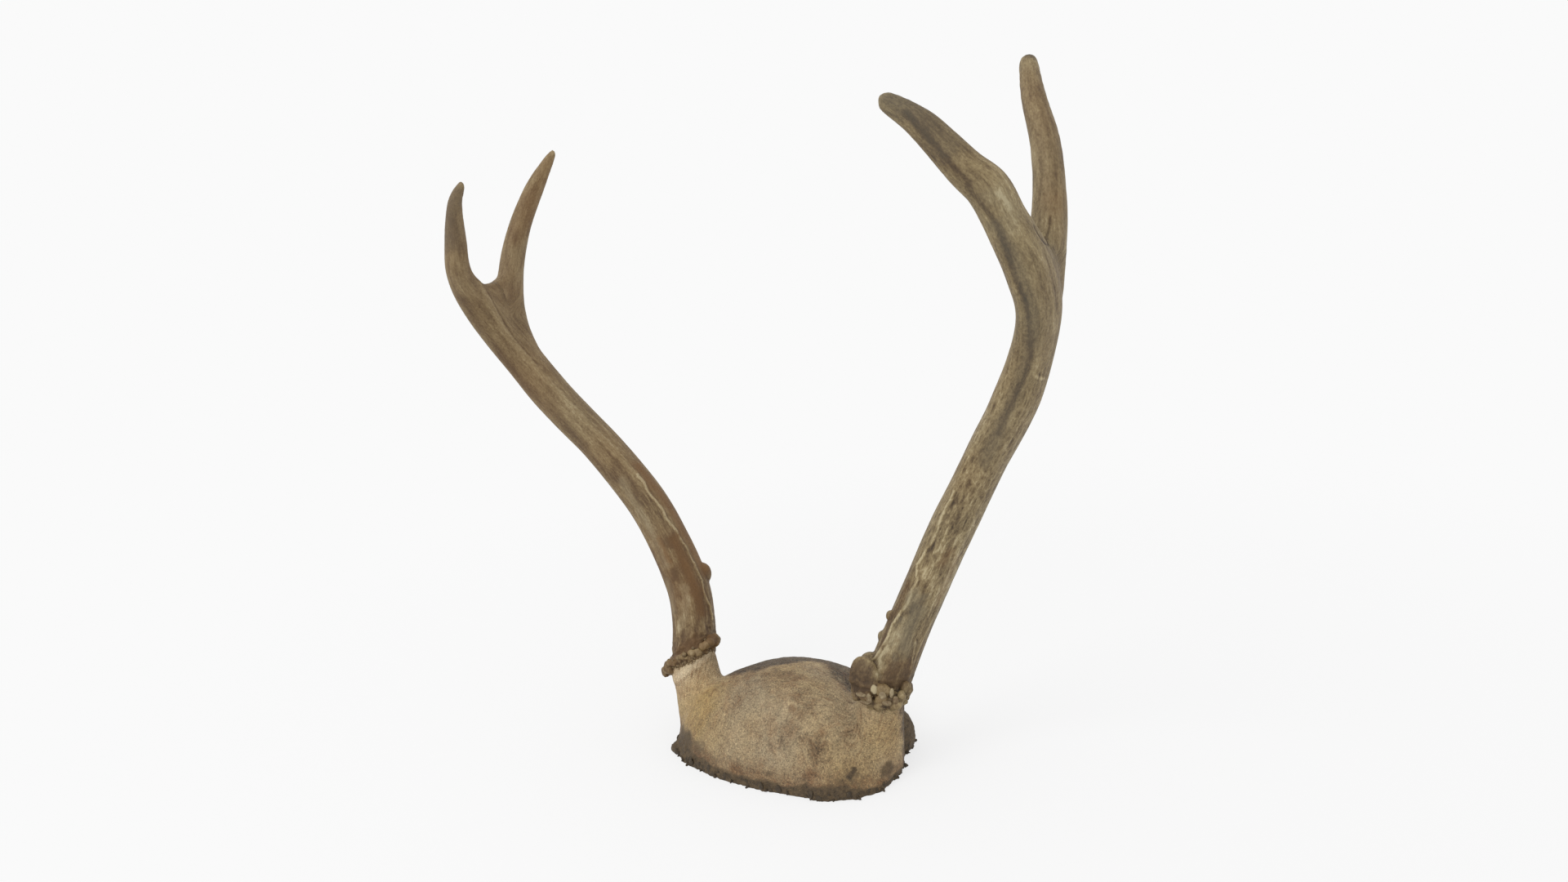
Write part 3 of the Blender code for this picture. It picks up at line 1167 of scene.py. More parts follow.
    def build_crumbs(self, pearl: Material, bead: Material) -> None:
        """Strew small pearls over the burr and a fringe of beads along its lower edge.

        Args:
            pearl: The finish of the pearls.
            bead: The finish of the beads.
        """
        name = self.side.value
        pearls = Scatter(
            spacing=self.pearl_spacing, smallest=0.35, largest=0.8, lumpiness=0.5, seed=self.seed,
        )
        shown(pearls.over(self.band(0.6, 3.6, -0.2), pearl), f"{name}_burr_pearls", pearl)
        beads = Scatter(spacing=0.9, smallest=0.2, largest=0.48, lumpiness=0.8, seed=self.seed + 1)
        shown(beads.over(self.band(-0.7, 0.7, -0.2), bead), f"{name}_burr_fringe", bead)

    def build_nodules(self, nodule: Material) -> None:
        """Set the large pale nodules that stand out of the front of the burr, where it has any.

        Args:
            nodule: The finish of the nodules.
        """
        if not self.nodules:
            return
        forms = [ball(one.spot, one.radii, one.faces) for one in self.nodules]
        skin = Skin(mesh_of(forms, "nodules"))
        crust = self.noises[3]
        skin.move(0.14 * crust.layered(skin.places, 1.4))
        # Painted shade: darker in the crevices of the nodules.
        tone = -0.35 * np.clip(skin.hollows(1), 0, 1)
        for one in self.nodules:
            near = np.linalg.norm(skin.places - np.array(one.spot), axis=1) < max(one.radii) * 1.3
            tone[near] = one.tone
        skin.paint(tone=tone)
        shown(skin.mesh, f"{self.side.value}_burr_nodules", nodule)


@dataclass
class SkullPlate:
    """The sawn skull plate: frontal bone, pedicles, braincase and the dried tissue on them."""

    marks: tuple[Mark, ...]
    antlers: tuple[Antler, ...]
    half_width: tuple[float, float] = (40, 36.5)
    front: float = 24.4
    back: float = 36
    height: float = 27.6
    middle_y: float = -1
    square: tuple[float, float] = (2.8, 2.2)
    hollow_half_width: float = 31
    hollow_front: float = 15
    hollow_back: float = 29
    hollow_height: float = 20
    hollow_square: tuple[float, float] = (2.3, 2.1)
    pedicle_foot: Spot = (34, -3.5, 2)
    pedicle_radii: dict[Side, tuple[float, float]] = field(
        default_factory=lambda: {Side.RIGHT: (8.6, 7.2), Side.LEFT: (9.2, 7.9)}
    )
    temple_lump: Spot = (33.5, 12, 4.5)
    temple_lump_radii: Spot = (5.3, 6.5, 9)
    rim_flare: float = 2.2
    rim_flare_height: float = 3
    coarse_voxel: float = 1.3
    fine_voxel: float = 0.5
    seed: int = 60
    # Where the pale frontal bone ends towards the back: x, y.
    hairline: tuple[tuple[float, float], ...] = (
        (-46, 2), (-36, 9), (-26, 5), (-20, -5), (-8, -2), (-2, 4), (3, 12), (8, 13), (15, 7),
        (22, 3), (34, 3), (46, -2),
    )
    # How high the dried tissue reaches above the cut along the front: x, z.
    tissue_top: tuple[tuple[float, float], ...] = (
        (-46, 3.6), (-38, 4.6), (-30, 5.4), (-21, 4), (-8, 3), (3, 2.8), (12, 3), (19, 3.8),
        (25, 4), (33, 4.4), (39, 2), (46, 2),
    )

    # Segments of a dome round it and up it, the size of the block that cuts off everything below
    # the ground, and the steps of a strip round the rim.
    DOME_SEGMENTS = (96, 48)
    GROUND_BLOCK = 200
    RIM_STEPS = 180

    def dome(
        self, half_width: Sequence[float], front: float, back: float, height: float,
        square: Sequence[float],
    ) -> BMesh:
        """A sphere shaped to a rounded oval in plan.

        Args:
            half_width: Half its width in front and behind.
            front: Its reach to the front.
            back: Its reach to the back.
            height: Its height.
            square: How square the oval is in front and behind. At 2 it is an ellipse.

        Returns:
            The form.
        """
        form = bmesh.new()
        around, up = self.DOME_SEGMENTS
        bmesh.ops.create_uvsphere(form, u_segments=around, v_segments=up, radius=1)
        for vert in form.verts:
            x, y, z = vert.co
            power = square[0] if y < 0 else square[1]
            flat = math.hypot(x, y)
            if flat > 1e-6:
                oval = ((abs(x) / flat) ** power + (abs(y) / flat) ** power) ** (-1 / power)
                x, y = x * oval, y * oval
            y *= front if y < 0 else back
            behind = max(0.0, min(1.0, y / 6))
            wide = half_width[0] + (half_width[1] - half_width[0]) * behind
            vert.co = (x * wide, self.middle_y + y, z * height)
        return form

    def forms(self) -> list[BMesh]:
        """The dome, the pedicles and the temple lumps.

        Returns:
            The closed forms.
        """
        dome = self.dome(self.half_width, self.front, self.back, self.height, self.square)
        for vert in dome.verts:
            flat = Vector((vert.co.x, vert.co.y, 0))
            if flat.length > 1:
                fade = math.exp(-((vert.co.z / self.rim_flare_height) ** 2))
                vert.co += flat.normalized() * fade * self.rim_flare
        forms = [dome]
        for one in self.antlers:
            radii = self.pedicle_radii[one.side]
            top = one.root() + one.axis()
            forms.append(stub(one.side.of(self.pedicle_foot), top, radii))
            forms.append(ball(top, (radii[1] + 0.1, radii[1] + 0.1, 3.4), one.axis()))
            forms.append(ball(one.side.of(self.temple_lump), self.temple_lump_radii))
        return forms

    def build(self, finish: Material) -> Object:
        """Make the plate's skin, hollow it, raise its relief, paint its values and show it.

        Args:
            finish: The bone material.

        Returns:
            The piece.
        """
        fine = bmesh.new()
        fine.from_mesh(melted(mesh_of(self.forms(), "plate"), self.coarse_voxel, 14))
        skin = Skin(melted(mesh_of([fine], "plate"), self.fine_voxel, 3))
        self.raise_relief(skin)
        skin = Skin(self.sawn(skin.mesh))
        self.paint(skin)
        return shown(skin.mesh, "skull_plate_bone", finish, ("skull_plate",))

    def covers(self, places: np.ndarray, noise: Noise) -> tuple[np.ndarray, np.ndarray]:
        """How far each point lies behind the frontal bone, and in the tissue along the cut.

        Args:
            places: Points, one a row.
            noise: The noise that makes both edges ragged.

        Returns:
            Both shares for each point, from 0 to 1.
        """
        x, y, z = places.T
        ragged = 1.2 * noise.layered(places, 4) + 0.5 * noise.at(places, 1.3)
        behind = step(-2.2, 2.2, y - np.interp(x, *zip(*self.hairline)) + 1.5 * ragged)
        band = step(-1.3, 1.3, np.interp(x, *zip(*self.tissue_top)) - z + 0.8 * ragged)
        temple = step(0, 1.5, np.abs(x) - 33.5) * step(3, 6, y)
        return behind, np.maximum(band, temple)

    def raise_relief(self, skin: Skin) -> None:
        """Give the outside of the plate its swells, grit, ragged rim and rough tissue.

        Args:
            skin: The plate's skin, before it is cut.
        """
        swell, grit, rim, mark_noise = (Noise(self.seed + k) for k in range(4))
        places = skin.places
        z = places[:, 2]
        behind, tissue = self.covers(places, rim)
        near_rim = np.exp(-(np.maximum(z, 0) / 1.8) ** 2)
        lift = 0.3 * swell.at(places, 13) + 0.1 * swell.layered(places, 4)
        lift += 0.05 * grit.layered(places, 1.3, 2)
        lift += tissue * (0.1 + 0.25 * grit.layered(places, 2.2) + 0.12 * grit.at(places, 1.1))
        lift += behind * 0.12 * grit.layered(places + 5, 3)
        flat = places * np.array([1, 1, 0.35])
        lift += near_rim * (0.6 * rim.layered(flat, 4.5) + 0.45 * grit.layered(flat, 1.8) - 0.2)
        for mark in self.marks:
            if mark.lift:
                lift += mark.lift * skin.weight(mark, mark_noise)
        skin.move(lift)

    def sawn(self, mesh: Mesh) -> Mesh:
        """Cut the braincase hollow and the flat face.

        Args:
            mesh: The plate's skin. It is used up.

        Returns:
            The plate, open below.
        """
        hollow = self.dome(
            (self.hollow_half_width,) * 2, self.hollow_front, self.hollow_back,
            self.hollow_height, self.hollow_square,
        )
        ground = bmesh.new()
        below = Matrix.Translation((0, 0, -self.GROUND_BLOCK / 2))
        bmesh.ops.create_cube(ground, size=self.GROUND_BLOCK, matrix=below)
        cutters = [linked("cutter", mesh_of([form], "cutter")) for form in (hollow, ground)]
        cut = {"operation": "DIFFERENCE", "solver": "MANIFOLD"}
        made = evaluated(mesh, [("BOOLEAN", {**cut, "object": cutter}) for cutter in cutters])
        for cutter in cutters:
            bpy.data.objects.remove(cutter, do_unlink=True)
        return made

    def grain(self, places: np.ndarray) -> np.ndarray:
        """The grain of the bone, which fans out from the pedicles.

        Args:
            places: Points, one a row.

        Returns:
            For each point, its place round its pedicle, its side, and how far it is away.
        """
        away = np.stack([36 - np.abs(places[:, 0]), places[:, 1] - 2, places[:, 2] - 24], axis=1)
        turn = np.arctan2(away[:, 1] - 0.8 * away[:, 2], away[:, 0])
        return np.stack([turn * 22, np.sign(places[:, 0]) * 20, np.linalg.norm(away, axis=1)], axis=1)

    def paint(self, skin: Skin) -> None:
        """Store the colour values of the bone and its tissue.

        Args:
            skin: The plate's finished skin.
        """
        swell, grit, rim, mark_noise = (Noise(self.seed + k) for k in range(4))
        places = skin.places
        x, y, z = places.T
        behind, tissue = self.covers(places, rim)
        hollow = skin.hollows(1)
        in_front = y < self.middle_y
        hollow_depth = np.where(in_front, self.hollow_front, self.hollow_back)
        spread = (np.abs(x) / self.hollow_half_width) ** 2.2
        spread += ((y - self.middle_y) / hollow_depth) ** 2
        under = (spread < 1.1) & (z < self.hollow_height + 1) & (skin.normals[:, 2] < 0.2)
        depth = np.where(in_front, self.front, self.back)
        rimmed = (np.abs(x) / self.half_width[0]) ** 2.6 + (np.abs(y - self.middle_y) / depth) ** 2.6
        # The hollow and the cut face carry little tissue.
        behind = np.where(under, 0.2, behind)
        tissue = np.where(under | ((z < NEAR_GROUND) & (rimmed < 0.85)), 0.2, tissue)
        tissue = np.maximum(tissue, behind * (0.36 + 0.25 * swell.layered(places, 6)))
        above = z - np.interp(x, *zip(*self.tissue_top))
        smear = 1 - step(0, 6, above + 2.5 * swell.layered(places + 3, 7))
        tone = 0.05 * swell.at(places, 12) - 0.55 * behind - 0.08 * smear
        # Painted shade: darker in the hollows of the bone, and a little paler on its crests.
        tone -= np.clip(hollow * 0.5, -0.1, 0.3)
        yellow = 0.35 + 0.25 * swell.at(places + 70, 20) - 0.2 * behind
        grey = 0.05 + 0.15 * swell.at(places + 20, 16) + 0.15 * behind
        warm = 0.1 + 0.14 * grit.at(places, 5) + 0.4 * behind + 0.5 * smear
        streaks = step(3, 12, np.abs(x)) * (0.6 + 0.5 * rim.at(places, 9)) * step(6, 12, z)
        for mark in self.marks:
            weight = skin.weight(mark, mark_noise)
            tone += mark.tone * weight
            yellow += mark.warm * weight
            grey += mark.grey * weight
            warm -= min(0.0, mark.tone) * 2.2 * weight
            tissue = np.maximum(tissue, mark.tissue * weight)
        skin.paint(
            tone=tone, yellow=yellow, grey=grey, warm=warm, tissue=tissue, streaks=streaks,
            grain=self.grain(places) * MM,
        )

    def rim_band(self, piece: Object, low: float, high: float, inset: float) -> Mesh:
        """A strip that follows the outside of the finished plate near the cut.

        Args:
            piece: The finished plate.
            low: The strip's lower height in millimetres.
            high: Its upper height.
            inset: How far inside the plate's outline it runs.

        Returns:
            The strip, in millimetres.
        """
        places = np.empty(len(piece.data.vertices) * 3, np.float32)
        piece.data.vertices.foreach_get("co", places)
        places = places.reshape(-1, 3) / MM - (0, SET_BACK, 0)
        places = places[places[:, 2] < high]
        bins = self.RIM_STEPS
        turns = (np.arctan2(places[:, 1], places[:, 0]) + math.pi) / math.tau
        slots = np.floor(turns * bins).astype(int) % bins
        reach = np.hypot(places[:, 0], places[:, 1])
        form = bmesh.new()
        rows = []
        for k in range(bins):
            far = float(reach[slots == k].max()) - inset
            turn = math.tau * (k + 0.5) / bins - math.pi
            spot = Vector((math.cos(turn) * far, math.sin(turn) * far, 0))
            rows.append([form.verts.new(spot + Vector((0, 0, z))) for z in (low, high)])
        for k in range(bins):
            a, b = rows[k], rows[(k + 1) % bins]
            form.faces.new((a[0], b[0], b[1], a[1]))
        return mesh_of([form], "rim_band")

    def build_scraps(self, piece: Object, scrap: Material) -> None:
        """Strew crumbs of dried tissue along the cut, and ragged tags that stand out from it.

        Args:
            piece: The finished plate.
            scrap: The finish of dried tissue.
        """
        crumbs = Scatter(spacing=2.6, smallest=0.4, largest=1.3, length=0.45, lumpiness=2.0, seed=7)
        shown(crumbs.over(self.rim_band(piece, 0.2, 2.2, 0.6), scrap), "rim_crumbs", scrap)
        tags = Scatter(spacing=6.5, smallest=0.25, largest=0.6, length=3.0, lumpiness=1.8, seed=5)
        shown(tags.over(self.rim_band(piece, 0.3, 0.8, 0.2), scrap), "rim_tags", scrap)


@dataclass(frozen=True)
class Studio:
    """The pale floor, the soft light and the camera at the photograph's angle.

    The camera's place is in the part's millimetres and its angles are in degrees. The rest is in
    metres.
    """

    camera_place: Spot = (199.7, -256.5, 173.5)
    azimuth: float = 36.13
    elevation: float = 12.21
    roll: float = -7.53
    lens: float = 24.444
    clip: tuple[float, float] = (0.01, 200)
    backdrop: str = "#fafafa"
    paper: str = "#f7f7f7"
    floor_radius: float = 30.0
    # The share of plain paper near the object, and between which distances it fades out.
    floor_matt: float = 0.24
    floor_fade: tuple[float, float] = (0.1, 0.4)
    light_place: Spot = (-0.25, -0.75, 0.9)
    light_aim: Spot = (0, 0, 0.1)
    light_size: float = 0.7
    light_power: float = 3.5

    def build(self) -> None:
        """Make the stage, the lights and the camera."""
        self.build_world()
        self.build_floor()
        self.build_lights()
        self.build_camera()

    def build_world(self) -> None:
        """An even pale surround, which also lights the object from all sides."""
        world = bpy.data.worlds.new("studio")
        world.use_nodes = True
        world.node_tree.nodes["Background"].inputs["Color"].default_value = linear(self.backdrop)
        bpy.context.scene.world = world
        bpy.context.scene.view_settings.view_transform = "Standard"

    def build_floor(self) -> None:
        """A wide floor of bright matt paper that fades into the surround far from the object."""
        form = bmesh.new()
        bmesh.ops.create_circle(form, cap_ends=True, segments=96, radius=self.floor_radius)
        mesh = bpy.data.meshes.new("studio_floor")
        form.to_mesh(mesh)
        form.free()
        # Plain uncoated paper, which gives a soft shadow near the object and no shine.
        paper, tree, unused = new_material("matt_paper")
        tree.nodes.remove(unused)
        place = add_node(tree, "ShaderNodeTexCoord").outputs["Object"]
        far = add_node(tree, "ShaderNodeVectorMath", {0: place}, operation="LENGTH").outputs["Value"]
        start, end = self.floor_fade
        share = {
            "Value": far, "From Min": start, "From Max": end, "To Min": self.floor_matt, "To Max": 0.0,
        }
        share = add_node(tree, "ShaderNodeMapRange", share, interpolation_type="SMOOTHSTEP")
        matt = add_node(tree, "ShaderNodeBsdfDiffuse", {"Color": (0.9, 0.9, 0.9, 1)})
        near = add_node(tree, "ShaderNodeMapRange", {"Value": share, "From Max": self.floor_matt})
        shade = {0: near, 6: linear(self.backdrop), 7: linear(self.paper)}
        shade = add_node(tree, "ShaderNodeMix", shade, data_type="RGBA")
        glow = add_node(tree, "ShaderNodeEmission", {"Color": shade.outputs[2]})
        mixed = add_node(tree, "ShaderNodeMixShader", {0: share, 1: glow, 2: matt})
        feed(tree, tree.nodes["Material Output"], {"Surface": mixed})
        mesh.materials.append(paper)
        linked("studio_floor", mesh)

    def build_lights(self) -> None:
        """One large soft light above and to the left of the camera."""
        data = bpy.data.lights.new("softbox", "AREA")
        data.shape = "DISK"
        data.size = self.light_size
        data.energy = self.light_power
        light = linked("softbox", data)
        light.location = self.light_place
        light.rotation_mode = "QUATERNION"
        light.rotation_quaternion = (light.location - Vector(self.light_aim)).to_track_quat("Z", "Y")

    def build_camera(self) -> None:
        """The camera where the photograph was taken from, rolled as it was."""
        turn, lift, roll = (math.radians(v) for v in (self.azimuth, self.elevation, self.roll))
        flat = math.cos(lift)
        back = Vector((math.sin(turn) * flat, -math.cos(turn) * flat, math.sin(lift)))
        right = Vector((math.cos(turn), math.sin(turn), 0))
        up = back.cross(right)
        across = right * math.cos(roll) + up * math.sin(roll)
        high = up * math.cos(roll) - right * math.sin(roll)
        data = bpy.data.cameras.new("camera")
        data.lens = self.lens
        data.clip_start, data.clip_end = self.clip
        camera = linked("camera", data)
        place = (Vector(self.camera_place) + Vector((0, SET_BACK, 0))) * MM
        turned = Matrix((across, high, back)).transposed().to_4x4()
        camera.matrix_world = Matrix.Translation(place) @ turned
        bpy.context.scene.camera = camera


RIGHT_BEAM = (
    ((42, 7, 40), 13, 16),
    ((47, 11, 52), 13, 16),
    ((60, 12, 76), 13, 15),
    ((74, 9, 98), 12, 15),
    ((88, 3, 118), 12, 16),
    ((98, -4, 138), 10, 17),
    ((100, -12, 152), 11, 16),
    ((98, -20, 165), 11, 10),
    ((96, -23, 172), 11, 10),
    ((92, -25, 177), 10, 9),
    ((84, -29, 188), 8, 7),
    ((77, -31, 194), 6, 5),
)
LEFT_BEAM = (
    ((42, 7, 40), 13, 16),
    ((47, 11, 52), 13, 16),
    ((59, 12, 76), 13, 15),
    ((74, 9, 98), 12, 15),
    ((88, 3, 118), 12, 15),
    ((97, -4, 138), 10, 16),
    ((99, -12, 152), 10, 14),
    ((97, -21, 165), 10, 9),
    ((91, -25, 177), 10, 8),
    ((83, -29, 188), 8, 7),
    ((76, -31, 193), 6, 5),
)
RIGHT_REAR_TINE = (
    ((95, 0, 132), 9, 12),
    ((99, -1, 148), 10, 12),
    ((100, 4, 165), 9, 9),
    ((98, 10, 180), 8, 8),
    ((93, 17, 193), 7, 7),
    ((90, 23, 202), 6, 6),
)
LEFT_REAR_TINE = (
    ((95, 0, 132), 9, 12),
    ((99, -1, 148), 9, 12),
    ((100, 4, 165), 9, 9),
    ((98, 10, 180), 9, 9),
    ((94, 17, 193), 9, 9),
    ((89.5, 22.5, 202.5), 6, 6),
)
RIGHT_WEB = (Knob((100, -7, 151), (4.6, 9, 8)),)
LEFT_WEB = (
    Knob((-99, -7, 151), (4.6, 9, 8)),
    Knob((-98, -14, 157), (4.2, 4, 4)),
    Knob((-98.5, -11, 157.6), (4.2, 4, 4)),
    Knob((-99, -8, 157.8), (4.2, 4, 4)),
    Knob((-99, -5, 157.8), (4.2, 4, 4)),
    Knob((-99.5, -3, 159), (4.2, 3.6, 3.8)),
)
RIGHT_KNOBS = (
    Knob((44, -5, 26), (2.4, 2.4, 2.4), tone=-0.05),
    Knob((46, 0, 28), (1.6, 1.6, 2.2), tone=-0.12),
    Knob((34, 0, 35), (3.2, 3.2, 3.2), tone=-0.15),
    Knob((37, 4, 42), (1.5, 1.5, 2.1), tone=-0.1),
    Knob((40, 5, 49), (1.3, 1.3, 1.8), tone=-0.1),
    Knob((34.4, -5, 33), (5.2, 6.0, 2.4), (-0.1, -0.97, 0.2), tone=-0.2, warm=0.1),
    Knob((35.6, -6, 30), (4.6, 3.4, 2.2), (0, -1, 0), tone=-0.1),
    Knob((31.6, -4, 31.6), (2.6, 3.4, 2.6), tone=-0.1),
    Knob((46.6, -4.4, 28), (1.2, 1.7, 1.3), (0.5, -1, 0), tone=-0.1, warm=0.1),
    Knob((36, -8.2, 28), (2.4, 1.9, 1.6), (0, -1, 0), tone=-0.04, warm=0.1),
    Knob((33, -8, 27.5), (1.6, 1.5, 1.4), (0, -1, 0), tone=-0.06),
    Knob((45.5, -6, 25.8), (1.6, 1.3, 1.3), (0.3, -1, 0), tone=0.04, warm=0.1),
    Knob((41, -7, 27), (2.0, 1.4, 1.4), (0.2, -1, 0), tone=0.0, warm=0.1),
    Knob((41, -6.4, 29.6), (3.0, 1.6, 1.2), (0.1, -1, 0.1), tone=0.0, warm=0.1),
)
RIGHT_NODULES = (
    Knob((39, -7.5, 30.2), (1.2, 1.5, 0.9), (0, -1, 0.2), tone=0.7),
    Knob((41.8, -7.6, 28.6), (1.2, 1.4, 0.8), (0.1, -1, 0.1), tone=0.0),
    Knob((44.4, -6.4, 29.4), (0.7, 1.5, 0.7), (0.2, -1, 0.5), tone=0.05),
    Knob((38, -9.4, 28.0), (0.9, 1.6, 0.7), (0.1, -1, 0.1), tone=-0.15),
    Knob((35.4, -9.5, 28.9), (1.9, 0.7, 0.7), (-0.1, -1, 0.1), tone=-0.2),
    Knob((36.4, -9.6, 26.6), (1.7, 0.7, 0.7), (0, -1, 0), tone=-0.3),
    Knob((43, -7.6, 26.6), (1.6, 0.9, 0.8), (0.2, -1, 0), tone=-0.3),
    Knob((45.6, -6.6, 27.4), (0.9, 1.4, 0.8), (0.3, -1, 0), tone=-0.3),
)
RIGHT_MARKS = (
    Mark(((36, -2, 37), (40, 0, 43), (42, 2, 47), (45, 3, 51), (49, 4, 57), (51, 4, 63),
          (51, 5, 67), (54, 5, 71), (58, 5, 76), (63, 5, 85), (66, 4, 90)),
         0.5, tone=0.26, lift=0.3, wander=0.6, ragged=0.15),
    Mark(((43, 1, 45), (41, -1, 41), (39, -2, 38), (40, -5, 34)),
         1.5, tone=0.3, grey=0.15, calm=0.3, ragged=0.6),
    Mark(((41, -1, 41), (39, -2, 38), (40, -5, 34)), 0.8, tone=0.32, ragged=0.6),
    Mark(((50, 4, 56), (49, 4, 51), (47, 2, 46), (46, 1, 41)),
         2.7, tone=0.08, grey=0.4, calm=0.2, ragged=0.8),
    Mark(((49, 4, 54), (47, 3, 51)), 0.9, tone=-0.25, ragged=0.8),
    Mark(((42, -3, 34), (44, -2, 35), (46, 1, 35), (45, 0, 31), (42, -5, 32)),
         2.6, tone=-0.3, warm=0.15, calm=0.7, lift=0.6, ragged=0.9),
    Mark(((61, 7, 71), (59, 6, 68)), 1.7, tone=-0.1, warm=0.25),
    Mark(((67, 4, 88), (65, 5, 80)), 2.0, tone=-0.16),
    Mark(((56, 5, 72), (55, 5, 69)), 1.8, tone=-0.18),
    Mark(((55, 6, 59), (54, 4, 65)), 2.4, tone=0.12),
    Mark(((62, 9, 69), (58, 9, 60), (54, 9, 53)), 1.2, tone=0.2, warm=0.2),
    Mark(((47, 5, 60), (43, 4, 52), (40, 4, 48), (39, 0, 41)), 1.6, tone=-0.22, warm=0.2),
    Mark(((48, 4, 42), (47, 3, 37), (46, 2, 34)), 0.5, tone=0.26, lift=0.2, wander=0.4, ragged=0.15),
    Mark(((98, -25, 163), (100, -22, 156), (101, -18, 147), (100, -13, 139), (98, -10, 132),
          (92, -6, 122), (85, -2, 111), (77, 2, 99)),
         2.2, tone=-0.05, grey=0.2, lift=-0.3, calm=0.4, ragged=0.25),
    Mark(((82, -32, 191), (93, -29, 175), (94, -28, 172), (98, -25, 164), (99, -23, 159), (99, -21, 153),
          (100, -16, 145), (99, -13, 138), (97, -9, 129), (91, -5, 120), (83, -1, 108)),
         0.9, tone=-0.24, lift=-0.1, calm=0.3, ragged=0.3),
    # Painted highlight: a pale patch with a brighter core on the front tine above the fork.
    Mark(((99, -26, 171), (101, -25, 169), (102, -23, 165)), 2.4, tone=0.1, grey=0.15, ragged=0.9),
    Mark(((100, -26, 170.5), (101, -25, 169), (102, -24, 167)), 0.6, tone=0.34, grey=0.1, ragged=0.8),
    Mark(((78, -32, 195), (85, -31, 191), (91, -31, 183)), 4.5, tone=-0.22, grey=0.2, calm=0.2),
    # Painted shade: a thin dark line along the crease where the rear tine meets the fork, over a shallow
    # groove.
    Mark(((104, -17, 162), (104, -16, 160), (104, -14, 158), (104, -11, 157), (103, -7, 157),
          (102, -4, 159), (102, -2, 161), (102, -1, 163)),
         0.4, tone=-0.2, lift=-0.15, ragged=0.0),
    Mark(((103, -20, 160), (104, -14, 150), (103, -10, 140), (100, -6, 130)),
         2.5, tone=0.08, ragged=0.8),
    Mark(((97, -5, 124), (97, -1, 123)), 0.5, tone=0.16, lift=0.15, ragged=0.1),
    Mark(((103, 1, 167), (104, -1, 159)), 3.2, warm=0.15, tone=0.05),
    Mark(((91, 23, 205),), 1.8, tone=-0.5, grey=0.2, calm=0.8),
    Mark(((92, 20, 202), (94, 17, 197)), 2.6, tone=0.08),
    Mark(((102, 2, 168), (99, 11, 186), (94, 18, 198)), 5.0, warm=0.14),
    Mark(((94, 19, 199), (99, 11, 186), (102, 5, 172)), 1.4, tone=-0.12, ragged=0.3),
    Mark(((29, -5, 30), (29, -5, 34), (31, -5, 37), (34, -5, 39), (37, -5, 38)),
         0.55, tone=0.16, ragged=0.3),
)
LEFT_KNOBS = (
    Knob((-30.6, 2.6, 32.2), (2.5, 2.3, 2.1), (0.4, 0.2, 1), tone=-0.05),
    Knob((-29.6, 0.6, 33), (1.3, 1.8, 1.2), tone=-0.05),
    Knob((-46, -4, 23), (2.6, 2.6, 2.6), tone=-0.02),
    Knob((-42, 16, 51), (2.7, 2.7, 3.8), tone=-0.1),
    Knob((-37, 10, 41), (1.4, 1.4, 2.0), tone=-0.1),
    Knob((-43.5, -7.6, 24), (2.4, 1.7, 1.8), (0, -1, 0), tone=0.06),
    Knob((-46.4, -6.6, 22.4), (1.5, 1.9, 1.6), (0, -1, 0), tone=0.03),
    Knob((-40.6, -7.8, 27), (2.4, 0.8, 0.9), (0.3, -1, 0), tone=0.06),
    Knob((-36, -7.4, 29.4), (2.6, 0.7, 0.8), (0.3, -1, 0), tone=0.08),
    Knob((-32.4, -5.4, 31), (2.2, 0.7, 0.8), (0.5, -1, 0), tone=0.12),
    Knob((-31, -2, 32), (1.8, 1.4, 1.2), (0.8, -1, 0), tone=0.08),
)
